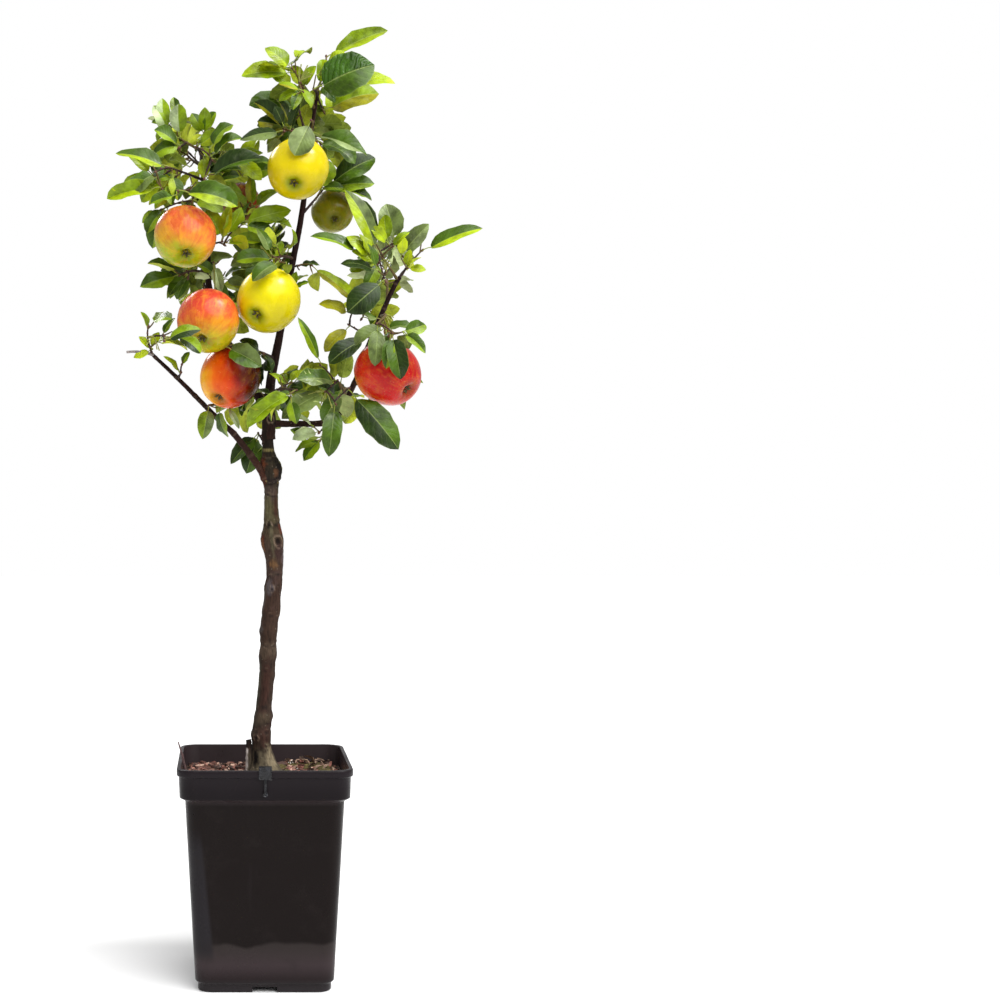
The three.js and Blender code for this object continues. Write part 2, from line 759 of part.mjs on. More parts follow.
// how far a leaf may turn from its place in the fan, in degrees, doubled from the first try on
const play = { swing: 14, depth: 50, roll: 90, lean: 6, behind: 30, behindMore: 35 };
const upperFace = { ahead: 0.75, behind: -0.3, up: 0.65 }; // where the upper face of a leaf looks

// one leaf: its place in the fan, then a few tries to find it a clear space
function growLeaf(mass, start, angle, outward, isBehind, length, breadth, seed) {
  const draw = seeded(seed);
  for (let attempt = 0; attempt < growth.tries; attempt++) {
    const loose = 0.5 + 0.5 * attempt;
    const swing = angle + (draw() - 0.5) * play.swing * loose;
    let depth = outward * play.lean + (draw() - 0.5) * play.depth * loose;
    if (isBehind) {
      depth = -outward * (play.behind + play.behindMore * draw());
    }
    const roll = (draw() - 0.5) * play.roll * loose;
    const size = length * (0.92 + 0.16 * draw()) * (isBehind ? growth.behindSize : 1);
    const ahead = isBehind ? upperFace.behind : upperFace.ahead;
    const facing = new THREE.Vector3(0, ahead * outward, upperFace.up);
    const frame = leafFrame(
      start, radians(swing), radians(depth), radians(roll), facing, size, breadth * growth.width,
    );
    const points = spotsOfBlade(frame);
    if (leafIsClear(points, mass)) {
      points.forEach((at) => leafSpots.push({ at, radius: 0, mass }));
      return frame;
    }
  }
  return null;
}

function growLeaves(mass, wood) {
  const leaves = [];
  mass.spurs.forEach(({ at, from, to, leaves: count, length, breadth }, which) => {
    const outward = at[1] > growth.backOfCrown ? 1 : -1;
    const behind = Math.floor(count * growth.behind);
    const { curve, reach } = wood.twigs[which];
    for (let i = 0; i < count + behind; i++) {
      const isBehind = i >= count;
      const share = isBehind ? (i - count + 0.5) / behind : i / Math.max(count - 1, 1);
      const back = Math.min(nodeSpacing * i + 1, reach * 0.5) / reach; // shared out along the twig's end
      const start = curve.getPoint(1 - back);
      const angle = from + (to - from) * share;
      const seed = mass.seed * 1000 + which * 50 + i;
      const frame = growLeaf(mass, start, angle, outward, isBehind, length, breadth, seed);
      if (frame) {
        leaves.push(frame);
      }
    }
  });
  return leaves;
}

// ---- Solids of a mass ---------------------------------------------------------------

function twigSolid({ curve, radii }) {
  const path = curve.getPoints(growth.twigSteps);
  return tube(path, path.map((_, i) => THREE.MathUtils.lerp(...radii, i / growth.twigSteps)), 3);
}

// a stalk and a keeled blade in one: three points to a ring, drawn out to the leaf's tip
function leafSolid(frame) {
  const { start, foot, side, up } = frame;
  const stalkRing = (at, radius) => [
    at.clone().addScaledVector(side, -radius),
    at.clone().addScaledVector(side, radius),
    at.clone().addScaledVector(up, -radius * 1.2),
  ];
  const rings = [stalkRing(start, blade.root), stalkRing(foot, blade.neck)];
  for (const t of blade.stations) {
    rings.push([bladePoint(frame, t, -1), bladePoint(frame, t, 1), bladePoint(frame, t, 0, -blade.keel)]);
  }
  return skin(rings, bladePoint(frame, 1, 0));
}

// half an apple's outline: hollow at the stalk, full shoulders, a shallow eye below
const appleOutline = [
  [0, 0.72], [0.14, 0.84], [0.42, 0.93], [0.8, 0.66], [0.99, 0.1], [0.86, -0.5], [0.52, -0.86],
  [0.2, -0.9], [0, -0.8],
];

function appleSolid({ at, radius, eye }) {
  const outline = appleOutline.map(([x, y]) => new THREE.Vector2(x * radius, y * radius)).reverse();
  const geometry = new THREE.LatheGeometry(outline, 10);
  const turn = new THREE.Quaternion().setFromUnitVectors(
    new THREE.Vector3(0, -1, 0),
    vec(eye).normalize(),
  );
  geometry.applyQuaternion(turn);
  geometry.translate(...at);
  return solidOf(geometry);
}

const overlaps = (a, b) => !a.intersect(b).isEmpty();

// ---- The whole plant ------------------------------------------------------------------

const paint = (color, roughness) =>
  new THREE.MeshStandardMaterial({ color, roughness, metalness: 0 });
const paints = {
  pot: paint(0x2a2527, 0.42),
  soil: paint(0x5c4438, 0.95),
  clip: paint(0x4a4a4d, 0.4),
  bark: paint(0x5a473d, 0.85),
  twig: paint(0x3b2a28, 0.8),
  leaf: paint(0x4f7a1f, 0.5),
};

const tree = new THREE.Group();
const potBody = makePot();
tree.add(meshOf("pot", potBody, paints.pot));
tree.add(meshOf("soil", makeSoil(), paints.soil));
tree.add(meshOf("rim_clip", makeClip(), paints.clip));

const trunkSolid = makeTrunk();
tree.add(meshOf("trunk", trunkSolid, paints.bark));

// each bough is cut back to stand just clear of the trunk that it grows from
const trunkClear = makeTrunk(GAP);
let limbsClear = trunkClear;
for (const name of Object.keys(boughs)) {
  tree.add(meshOf(name, mainBody(makeBough(name).subtract(trunkClear)), paints.twig));
  limbsClear = limbsClear.add(makeBough(name, GAP));
}

// wood first, so that leaves keep clear of every twig, then leaves mass by mass
const grown = Object.entries(masses).map(([name, mass]) => {
  const wood = growWood(mass);
  wood.spots.forEach(({ at, radius }) => twigBalls.push({ at, radius, mass }));
  const pieces = wood.twigs.map(twigSolid);
  if (mass.fruit) {
    pieces.push(twigSolid(growStalk(mass, wood)), appleSolid(mass.fruit));
  }
  const core = mainBody(wasm.Manifold.union(pieces).subtract(limbsClear));
  return { name, mass, wood, core };
});

for (const one of grown) {
  let solid = one.core;
  for (const frame of growLeaves(one.mass, one.wood)) {
    const leaf = leafSolid(frame).subtract(limbsClear);
    const others = grown.filter((other) => other !== one);
    if (!others.some((other) => overlaps(leaf, other.solid ?? other.core))) {
      solid = solid.add(leaf);
    }
  }
  one.solid = mainBody(solid);
  tree.add(meshOf(one.name, one.solid, paints.leaf));
}

export default tree;
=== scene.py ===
"""Looks of a dwarf apple tree in a square nursery pot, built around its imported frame.

Metres, +Z up, front towards -Y. Sizes are given in millimetres and scaled by MM.
"""

import math

import bpy
import numpy as np
from mathutils import Matrix, Quaternion, Vector, noise


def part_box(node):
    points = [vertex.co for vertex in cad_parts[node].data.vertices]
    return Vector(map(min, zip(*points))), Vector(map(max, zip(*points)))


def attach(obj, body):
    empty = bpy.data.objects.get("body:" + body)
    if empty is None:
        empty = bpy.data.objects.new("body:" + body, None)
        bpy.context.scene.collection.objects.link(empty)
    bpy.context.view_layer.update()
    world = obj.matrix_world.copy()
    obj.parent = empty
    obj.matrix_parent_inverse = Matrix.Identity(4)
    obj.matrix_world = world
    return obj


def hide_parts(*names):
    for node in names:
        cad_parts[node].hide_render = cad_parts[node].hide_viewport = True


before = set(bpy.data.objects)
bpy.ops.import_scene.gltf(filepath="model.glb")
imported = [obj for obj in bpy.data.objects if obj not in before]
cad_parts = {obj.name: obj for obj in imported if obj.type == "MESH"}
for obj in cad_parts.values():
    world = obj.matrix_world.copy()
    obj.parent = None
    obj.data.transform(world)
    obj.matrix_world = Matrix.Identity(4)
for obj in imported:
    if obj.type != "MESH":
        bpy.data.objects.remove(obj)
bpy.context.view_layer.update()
MM = 0.001

# ---- Nursery pot --------------------------------------------------------------------
# A square container, injection moulded in charcoal polypropylene. The body tapers to a
# foot ring with four drain channels, and the wall steps out into a collar under a
# rolled lip.

# width and height of each ring: up the outside, over the lip, then down the inside
pot_rings = [
    (144, 0), (146, 1.5), (146, 8), (149, 9.6), (152, 11.5), (163.2, 110), (174, 209), (186, 213),
    (186.7, 224), (187.5, 236.3), (191.2, 237.2), (192, 238.2), (192, 243.2), (191.4, 244.4),
    (189.8, 245), (183.4, 245), (183.0, 244.4), (181.6, 215.2), (169.6, 211.2), (147.6, 8.5),
]
pot_corner = 14.5
drain = {"width": 27, "height": 6, "inner": 30, "outer": 78, "hole": 5.5, "hole_at": 42}


def take(*pieces):
    """Only these pieces selected, in object mode, with the first of them active."""
    if bpy.context.object and bpy.context.object.mode != "OBJECT":
        bpy.ops.object.mode_set(mode="OBJECT")
    bpy.ops.object.select_all(action="DESELECT")
    for piece in pieces:
        piece.select_set(True)
    if pieces:
        bpy.context.view_layer.objects.active = pieces[0]


def fresh(add, name, **settings):
    """A plain form to model a piece from."""
    take()
    add(**settings)
    made = bpy.context.object
    made.name = made.data.name = name
    return made


def edit_all():
    bpy.ops.object.mode_set(mode="EDIT")
    bpy.ops.mesh.select_all(action="SELECT")


def step_along(rings, pull):
    """Pulls the selected edges or faces on through each ring's width and height."""
    for (width, height), (next_width, next_height) in zip(rings, rings[1:]):
        pull(TRANSFORM_OT_translate={"value": (0, 0, (next_height - height) * MM)})
        bpy.ops.transform.resize(value=(next_width / width, next_width / width, 1))


def close_up():
    """All faces turned outward, and back to object mode."""
    bpy.ops.mesh.select_all(action="SELECT")
    bpy.ops.mesh.normals_make_consistent(inside=False)
    take()


def apply(piece, kind, **settings):
    """A modifier set up and applied."""
    modifier = piece.modifiers.new(kind.lower(), kind)
    for name, value in settings.items():
        setattr(modifier, name, value)
    take(piece)
    bpy.ops.object.modifier_apply(modifier=modifier.name)


def soften_edges(piece, width, angle):
    apply(piece, "BEVEL", width=width * MM, segments=2, limit_method="ANGLE", angle_limit=math.radians(angle))


def cut_away(piece, cutter):
    apply(piece, "BOOLEAN", object=cutter, operation="DIFFERENCE", solver="EXACT")
    bpy.data.objects.remove(cutter)


def set_down(piece, at, size=None, turn=Matrix()):
    """A piece's mesh sized, moved and then turned about the upright axis."""
    sized = Matrix.Diagonal((*(Vector(size) * MM), 1)) if size else Matrix()
    piece.data.transform(turn @ Matrix.Translation(Vector(at) * MM) @ sized)


def smooth(piece, angle):
    take(piece)
    bpy.ops.object.shade_smooth_by_angle(angle=math.radians(angle))


nursery_pot = fresh(bpy.ops.mesh.primitive_plane_add, "nursery_pot", size=pot_rings[0][0] * MM)
edit_all()
bpy.ops.mesh.bevel(offset=pot_corner * MM, segments=8, affect="VERTICES")
step_along(pot_rings, bpy.ops.mesh.extrude_region_move)
close_up()
soften_edges(nursery_pot, 0.7, 24)
for side in range(4):
    turn = Matrix.Rotation(side * math.pi / 2, 4, "Z")
    channel = fresh(bpy.ops.mesh.primitive_cube_add, "channel", size=1)
    reach = drain["outer"] - drain["inner"]
    set_down(channel, (drain["inner"] + reach / 2, 0, 0), (reach, drain["width"], drain["height"] * 2), turn)
    cut_away(nursery_pot, channel)
    hole = fresh(bpy.ops.mesh.primitive_cylinder_add, "hole", vertices=20, radius=drain["hole"] * MM, depth=40 * MM)
    set_down(hole, (drain["hole_at"], 0, 0), turn=turn)
    cut_away(nursery_pot, hole)
smooth(nursery_pot, 32)


def colour(chip):
    """A paint chip, told by its usual six digits, as one level of grey, or already mixed."""
    if isinstance(chip, str):
        channels = [int(chip[i:i + 2], 16) / 255 for i in (0, 2, 4)]
        chip = [c / 12.92 if c <= 0.04045 else ((c + 0.055) / 1.055) ** 2.4 for c in channels]
    elif not hasattr(chip, "__len__"):
        chip = (chip,) * 3
    return (*chip[:3], 1.0)


def put(kind, inputs=(), output=0, tree=None, **settings):
    """A node's output. Inputs are plain values, chips, or the outputs of nodes in the same tree."""
    inputs = dict(inputs)
    wired = {key: value for key, value in inputs.items() if isinstance(value, bpy.types.NodeSocket)}
    tree = tree or next(iter(wired.values())).id_data
    made = tree.nodes.new("ShaderNode" + kind)
    for name, value in settings.items():
        setattr(made, name, value)
    for key, value in inputs.items():
        if key in wired:
            tree.links.new(value, made.inputs[key])
        else:
            made.inputs[key].default_value = colour(value) if made.inputs[key].type == "RGBA" else value
    return made.outputs[output]


def reckon(way, *values):
    return put("Math", enumerate(values), operation=way)


def times(first, second):
    return reckon("MULTIPLY", first, second)


def mask(value, first, last, way="LINEAR", most=1.0):
    """From none where a value is the first to the most where it is the last."""
    return put("MapRange", {0: value, 1: first, 2: last, 4: most}, interpolation_type=way)


def grain(place, scale, detail=2.0, roughness=0.5):
    return put("TexNoise", {"Vector": place, "Scale": scale, "Detail": detail, "Roughness": roughness})


def stretched(place, across, up):
    return put("Mapping", {0: place, "Scale": (across, across, up)})


def split(place):
    return put("SeparateXYZ", {0: place}).node.outputs


def blend(share, under, over, way="MIX"):
    """One colour laid over another."""
    return put("Mix", {0: share, 6: under, 7: over}, 2, data_type="RGBA", blend_type=way)


def ramp(value, *stops):
    """Colours along a value, from places and chips."""
    made = put("ValToRGB", {0: value})
    bar = made.node.color_ramp
    while len(bar.elements) < len(stops):
        bar.elements.new(0.5)
    for element, (place, chip) in zip(bar.elements, stops):
        element.position, element.color = place, colour(chip)
    return made


def new_finish(name, roughness=0.5, specular=0.5):
    """A material with one Principled shader; gives it and the place of each spot on the piece."""
    made = bpy.data.materials.new(name)
    made.use_nodes = True
    shader = made.node_tree.nodes["Principled BSDF"]
    shader.inputs["Roughness"].default_value = roughness
    shader.inputs["Specular IOR Level"].default_value = specular
    return made, put("TexCoord", output="Object", tree=made.node_tree)


def feed(channel, value):
    tree = value.id_data
    tree.links.new(value, tree.nodes["Principled BSDF"].inputs[channel])


def relief(height, distance, strength=1.0):
    feed("Normal", put("Bump", {"Height": height, "Distance": distance, "Strength": strength}))


def mottle_group():
    """Soft blotches with finer grain in them, as dust, algae or sun leave on a surface."""
    group = bpy.data.node_groups.new("mottle", "ShaderNodeTree")
    for name, kind in (("Place", "Vector"), ("Scale", "Float"), ("Cover", "Float")):
        group.interface.new_socket(name, in_out="INPUT", socket_type="NodeSocket" + kind)
    group.interface.new_socket("Mask", in_out="OUTPUT", socket_type="NodeSocketFloat")
    place, scale, cover = group.nodes.new("NodeGroupInput").outputs[:3]
    low = reckon("SUBTRACT", 1.0, cover)
    blotches = mask(grain(place, scale, 6.0, 0.62), low, reckon("ADD", low, 0.18), "SMOOTHSTEP")
    group.links.new(blotches, group.nodes.new("NodeGroupOutput").inputs[0])
    return group


mottle = mottle_group()


def mottled(place, scale, cover):
    """The mottle mask at a place; cover runs from 0, none, to 1, all of it."""
    return put("Group", {"Place": place, "Scale": scale, "Cover": cover}, node_tree=mottle)


polypropylene, place = new_finish("charcoal_polypropylene", specular=0.1)
east, _, height = split(place)
body = ramp(height, (0.0, "262224"), (0.011, "201c1d"), (0.014, "1c1415"), (0.03, "31282a"), (0.05, "292322"),
            (0.07, "211c1b"), (0.2, "211b1a"), (0.215, "110c0f"), (0.243, "1c171a"))
# the foot is lighter and browner below a wavy line, highest at the middle of each side, and darker above it up to the
# collar
level = reckon("MULTIPLY_ADD", grain(stretched(place, 1.0, 0.1), 14.0, 3.0), -0.032, height)
above_foot_band = times(mask(level, 0.036, 0.041, "SMOOTHSTEP"), mask(height, 0.212, 0.206))
body = blend(above_foot_band, body, "0f0807")
# painted sheen: the wall is lighter up its left corners, standing in for a reflection
painted_corner_sheen = mask(reckon("MULTIPLY_ADD", height, 0.1, east), -0.0495, -0.0545, "SMOOTHSTEP")
for low, high in ((0.185, 0.15), (0.03, 0.05)):
    painted_corner_sheen = times(painted_corner_sheen, mask(height, low, high, "SMOOTHSTEP"))
body = blend(painted_corner_sheen, body, "1d1a1d")
# the inner wall of the collar is told apart by how far it stands from the rounded square inside it
reach = put("VectorMath", {0: place}, operation="ABSOLUTE")
reach = put("VectorMath", {0: reach, 1: (0.0735, 0.0735, 1.0)}, operation="SUBTRACT")
reach = put("VectorMath", {0: reach, 1: (0.0, 0.0, 0.0)}, operation="MAXIMUM")
reach = put("VectorMath", {0: reach}, "Value", operation="LENGTH")
inside = times(mask(reach, 0.0191, 0.0183), mask(height, 0.205, 0.212))
body = blend(inside, body, "2b2324")
# dust in blotches, and long faint streaks over it
dusty = blend(times(mottled(place, 26.0, 0.47), 0.3), body, "1e1817")
streaks = mottled(stretched(place, 3.0, 0.35), 34.0, 0.4)
feed("Base Color", blend(times(streaks, 0.16), dusty, "241e20"))
feed("Roughness", ramp(mottled(place, 15.0, 0.55), (0.0, 0.27), (1.0, 0.38)))
relief(reckon("MULTIPLY_ADD", grain(place, 900.0), 0.05, grain(place, 22.0)), 0.0012)

nursery_pot.data.materials.append(polypropylene)
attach(nursery_pot, "root")
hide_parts("pot")

# ---- Growing medium ------------------------------------------------------------------
# Bark-based compost that fills the pot to 20 mm under its rim. Its surface is uneven, with
# moss in the back right corner, and it is made as one closed lump.

soil_top, soil_half, soil_corner = 222.5, 90.4, 19.5
# width and height of the lump's rings below its surface
soil_rings = [(180.8, 222.5), (180.4, 216), (168.2, 211.6), (146.4, 8.9)]
moss_spots = [(62, 58, 26), (40, 70, 18), (70, 20, 15), (18, 46, 14), (28, 8, 10)]


def held(value, low=0.0, high=1.0):
    """A value kept from going below or above its limits."""
    return max(low, min(high, value))


def between(table, place):
    """The value between the stations of a table of (place, value)."""
    return float(np.interp(place, *zip(*table)))


def moss_at(x, y):
    """How mossy the surface is at a place, 0 to 1."""
    return held(1.6 * max(1 - math.hypot(x - east, y - north) / spread for east, north, spread in moss_spots))


def soil_height(x, y):
    """Height of the surface: crumbs and swells that die out at the wall, a slight crown, and moss."""
    spot = Vector((x, y, 0.0))
    rough = noise.fractal(spot * 0.09, 1.0, 2.0, 5) * 1.5 + noise.noise(spot * 0.025) * 1.3
    edge = min(1.0, (soil_half - max(abs(x), abs(y))) / 6)
    crown = 1.6 * (1 - (x * x + y * y) / (2 * soil_half ** 2))
    return soil_top + crown + rough * max(edge, 0.15) + 4.5 * moss_at(x, y) * edge


def read(place, name, output="Color"):
    """What the mesh carries under a name."""
    return put("Attribute", output=output, tree=place.id_data, attribute_name=name)


def carry(piece, name, kind, values):
    """A value, place or colour kept at every point of a piece."""
    layers = piece.data.color_attributes if kind == "FLOAT_COLOR" else piece.data.attributes
    field = {"FLOAT": "value", "FLOAT_VECTOR": "vector", "FLOAT_COLOR": "color"}[kind]
    layers.new(name, kind, "POINT").data.foreach_set(field, np.array(values, np.float32).ravel())


compost = fresh(bpy.ops.mesh.primitive_grid_add, "compost", x_subdivisions=72, y_subdivisions=72,
                size=2 * soil_half * MM, location=(0, 0, soil_top * MM))
bpy.ops.object.transform_apply()
edit_all()
bpy.ops.mesh.region_to_loop()
step_along(soil_rings, bpy.ops.mesh.extrude_edges_move)
bpy.ops.mesh.edge_face_add()
close_up()
mossy = []
for vertex in compost.data.vertices:
    x, y, z = (c / MM for c in vertex.co)
    half = between([(height, width / 2) for width, height in soil_rings[::-1]], z)
    flat = half - soil_corner * half / soil_half
    over_x, over_y = abs(x) - flat, abs(y) - flat
    if over_x > 0 and over_y > 0:
        pull = max(over_x, over_y) / math.hypot(over_x, over_y)
        x, y = math.copysign(flat + over_x * pull, x), math.copysign(flat + over_y * pull, y)
    on_top = z > soil_top - 1
    mossy.append(moss_at(x, y) if on_top else 0.0)
    vertex.co = Vector((x, y, soil_height(x, y) if on_top else z)) * MM
carry(compost, "moss", "FLOAT", mossy)
smooth(compost, 50)

bark_compost, place = new_finish("bark_compost", 0.95, 0.2)
crumbs = put("TexVoronoi", {"Vector": place, "Scale": 260.0}).node.outputs
loam = ramp(crumbs["Color"], (0.0, "1e1614"), (0.4, "32241f"), (0.7, "403028"), (1.0, "5a443a"))
damp = blend(mottled(place, 40.0, 0.45), loam, "1c1513")
fuzz = grain(place, 420.0, 4.0)
moss_shade = ramp(fuzz, (0.3, "2a2511"), (0.55, "504726"), (0.75, "756a44"))
feed("Base Color", blend(mask(read(place, "moss", "Fac"), 0.15, 0.5), damp, moss_shade))
relief(reckon("ADD", crumbs["Distance"], fuzz), 0.0015)

compost.data.materials.append(bark_compost)
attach(compost, "root")
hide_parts("soil")

# ---- Bark mulch, dry leaves and grit on the compost -------------------------------------
# Chips of conifer bark, a few curled dry leaves by the moss, white grit, and a dry
# stalk that leans on the rim, all lying loose on the surface.

chip_count, grit_count, grit_in_moss = 900, 140, 16
# the room left at the pot's wall and round the trunk's foot, and how far into the corners bits lie
wall_gap, foot_gap, corner_reach = 6, 20, 1.28
stalk_path = [(-84, -40, 222), (-87.5, -43, 238), (-90.5, -46, 254), (-95, -48, 269)]
# where each dry leaf lies, and its length
dry_leaves = [(56, 66, 19), (68, 52, 17), (47, 76, 16), (76, 68, 17), (64, 36, 13), (30, 72, 12), (79, 30, 12),
              (20, 60, 9), (70, 78, 15), (58, 44, 11), (-20, 66, 9), (38, 40, 9), (62, 74, 14), (50, 56, 12),
              (74, 44, 12), (42, 64, 11), (66, 62, 15)]
mulch_tints = [colour(chip) for chip in ("55372f", "774c42", "92665a", "43302a", "b0907f", "624539", "7c5f54",
                                         "3a2a24")]
dry_tints = [colour(chip) for chip in ("5a4436", "7d6656", "3c2c22", "98806c")]


def seeded(seed):
    """The plant's own random draws, the same on every run."""
    state = (seed * 7919) & 0xFFFFFFFF

    def draw():
        nonlocal state
        state = (state * 1664525 + 1013904223) & 0xFFFFFFFF
        return state / 4294967296

    draw()
    draw()
    return draw


class Heap:
    """Many small like pieces gathered into one mesh."""

    def __init__(self):
        self.points, self.faces, self.kinds, self.tints, self.maps = [], [], [], [], []
        self.count = 0

    def add(self, points, faces, kind=0, tint=None, uv=None):
        points = np.asarray(points, float)
        self.points.append(points)
        self.faces.extend(tuple(i + self.count for i in face) for face in faces)
        self.kinds.extend(kind if hasattr(kind, "__len__") else [kind] * len(faces))
        if tint is not None:
            self.tints.extend([tint] * len(faces))
        if uv is not None:
            self.maps.extend(tuple(uv[i]) for face in faces for i in face)
        self.count += len(points)

    def piece(self, name, finishes, angle=40):
        mesh = bpy.data.meshes.new(name)
        mesh.from_pydata((np.concatenate(self.points) * MM).tolist(), [], self.faces)
        mesh.polygons.foreach_set("material_index", self.kinds)
        if self.tints:
            tints = np.repeat(np.array(self.tints, np.float32), [len(face) for face in self.faces], axis=0)
            layer = mesh.color_attributes.new("tint", "FLOAT_COLOR", "CORNER")
            layer.data.foreach_set("color", tints.ravel())
        if self.maps:
            mesh.uv_layers.new(name="blade").uv.foreach_set("vector", np.array(self.maps, np.float32).ravel())
        for finish in finishes:
            mesh.materials.append(finish)
        mesh.polygons.foreach_set("use_smooth", [True] * len(self.faces))
        mesh.set_sharp_from_angle(angle=math.radians(angle))
        mesh.update()
        made = bpy.data.objects.new(name, mesh)
        bpy.context.scene.collection.objects.link(made)
        return made


def shape_of(form):
    """A modelled form's points and faces, to be copied; the form itself goes."""
    shape = np.array([v.co[:] for v in form.data.vertices]), [tuple(p.vertices) for p in form.data.polygons]
    bpy.data.objects.remove(form)
    return shape


def lying_on_soil(draw):
    """A random spot on the compost, clear of the pot's wall and of the trunk's foot."""
    while True:
        x, y = ((draw() * 2 - 1) * (soil_half - wall_gap) for _ in range(2))
        if foot_gap < math.hypot(x, y) < soil_half * corner_reach:
            return x, y


def turned(points, size, spin, tip, at):
    """Points sized, tipped, spun and set down."""
    way = Matrix.Rotation(spin, 3, "Z") @ Matrix.Rotation(tip[0], 3, "X") @ Matrix.Rotation(tip[1], 3, "Y")
    return (points * np.array(size)) @ np.array(way).T + np.array(at)


def carried(path):
    """Each station of a path with its two sides, carried along without twist."""
    frames, across = [], None
    for i, middle in enumerate(path):
        ahead = (path[min(i + 1, len(path) - 1)] - path[max(i - 1, 0)]).normalized()
        if across is None:
            across = ahead.cross(Vector((0, 0, 1)) if abs(ahead.y) > 0.8 else Vector((0, 1, 0)))
        across = (across - ahead * across.dot(ahead)).normalized()
        frames.append((middle, across, ahead.cross(across)))
    return frames


def tube(path, radii, sides):
    """Points and faces of a closed tube along a path."""
    turns = [2 * math.pi * side / sides for side in range(sides)]
    points = [(middle + (across * math.cos(turn) + other * math.sin(turn)) * radius)[:]
              for (middle, across, other), radius in zip(carried([Vector(spot) for spot in path]), radii)
              for turn in turns]
    last = len(points) - sides
    faces = [(ring + side, ring + (side + 1) % sides, ring + (side + 1) % sides + sides, ring + side + sides)
             for ring in range(0, last, sides) for side in range(sides)]
    return points, faces + [tuple(range(sides - 1, -1, -1)), tuple(range(last, last + sides))]


def dry_leaf(draw, length):
    """A curled strip, rolled up at its sides, as points and faces of a closed blade."""
    rows, points, faces = 7, [], []
    curl = 0.4 + 0.8 * draw()
    for i in range(rows):
        t = i / (rows - 1)
        half = length * 0.2 * math.sin(math.pi * (0.08 + 0.88 * t))
        lift = length * 0.14 * math.sin(math.pi * t) * (0.4 + draw() * 0.8)
        along = (t - 0.5) * length
        points += [(along, u * half * 0.8, lift + abs(u) * half * curl + 0.25) for u in (-1, 0, 1)]
        points.append((along, 0, lift - 0.25))
    for a in range(0, 4 * rows - 4, 4):
        b = a + 4
        faces += [(a + 1, a, b, b + 1), (a + 2, a + 1, b + 1, b + 2),
                  (a, a + 3, b + 3, b), (a + 3, a + 2, b + 2, b + 3)]
    faces += [(0, 1, 2, 3), (rows * 4 - 1, rows * 4 - 2, rows * 4 - 3, rows * 4 - 4)]
    return np.array(points), faces


# three rough chips, each a block broken up
chips = []
for seed in (3, 8, 21):
    block = fresh(bpy.ops.mesh.primitive_cube_add, "chip", size=1)
    edit_all()
    bpy.ops.mesh.subdivide(number_cuts=1)
    bpy.ops.transform.vertex_random(offset=0.2, uniform=0.5, seed=seed)
    take()
    chips.append(shape_of(block))

draw = seeded(301)
mulch = Heap()
for _ in range(chip_count):
    x, y = lying_on_soil(draw)
    if moss_at(x, y) > 0.35 and draw() < 0.8:
        continue
    points, faces = chips[int(draw() * 3)]
    long = 3 + 9 * draw() ** 2
    size = (long, long * (0.35 + 0.35 * draw()), 1.2 + 1.8 * draw())
    tip = ((draw() - 0.5) * 0.9, (draw() - 0.5) * 0.9)
    at = (x, y, soil_height(x, y) + 0.3 + size[2] * 0.3)
    tint = mulch_tints[int(draw() * len(mulch_tints))]
    mulch.add(turned(points, size, draw() * 6.28, tip, at), faces, 0, tint)
for which in range(grit_count):
    x, y = lying_on_soil(draw)
    if which < grit_in_moss:
        x, y = 22 + 18 * draw(), 60 + 20 * draw()
    elif moss_at(x, y) > 0.1 or (x < 8 and draw() < 0.6):
        continue
    points, faces = chips[int(draw() * 3)]
    size = 1.0 + 1.3 * draw()
    at = (x, y, soil_height(x, y) + 0.9)
    shape = turned(points, (size, size * 0.9, size * 0.8), draw() * 6.28, (draw(), draw()), at)
    mulch.add(shape, faces, 1, colour("cfcac0"))
mulch.add(*tube(stalk_path, [1.7, 1.5, 1.3, 0.7], 6), 0, colour("5a4645"))
for x, y, length in dry_leaves:
    points, faces = dry_leaf(draw, length)
    tip = ((draw() - 0.5) * 0.8, -0.2 - draw() * 0.5)
    at = (x, y, soil_height(x, y) + 1.5)
    mulch.add(turned(points, (1, 1, 1), draw() * 6.28, tip, at), faces, 2, dry_tints[int(draw() * 4)])


def paint_loose(name, roughness, spread, scale):
    """Loose dry stuff: each bit keeps its own tint, roughened by a broken grain."""
    made, place = new_finish(name, roughness, 0.25)
    broken = grain(place, scale, 4.0)
    feed("Base Color", blend(1.0, read(place, "tint"), ramp(broken, (0.3, 1 - spread), (0.7, 1 + spread)), "MULTIPLY"))
    relief(broken, 0.0006)
    return made


bark_mulch = mulch.piece("bark_mulch", [
    paint_loose("mulch_bark", 0.9, 0.35, 500.0), paint_loose("white_grit", 0.8, 0.08, 900.0),
    paint_loose("dry_leaf", 0.75, 0.3, 260.0),
])
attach(bark_mulch, "root")
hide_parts("soil")

# ---- Rim clip ----------------------------------------------------------------------
# A springy clip in smoky grey plastic, bent over the front of the rim from one band, with
# a narrow tail down the collar that ends in a round stud.

clip = {"width": 14, "thick": 1.5, "front": 97.05, "radius": 4.15, "spring": 249.1, "foot": 235.5,
        "inner_foot": 228, "tail": 2.8, "tail_foot": 220, "stud": 2.7}


def pull_up(rise):
    bpy.ops.mesh.extrude_region_move(TRANSFORM_OT_translate={"value": (0, 0, rise * MM)})


def choose(piece, kind, wanted):
    """Into edit mode, with only the wanted faces or edges of a piece selected."""
    bpy.ops.object.mode_set(mode="EDIT")
    bpy.ops.mesh.select_mode(type=kind)
    bpy.ops.mesh.select_all(action="DESELECT")
    take()
    for part in piece.data.polygons if kind == "FACE" else piece.data.edges:
        part.select = wanted(part)
    take(piece)
    bpy.ops.object.mode_set(mode="EDIT")


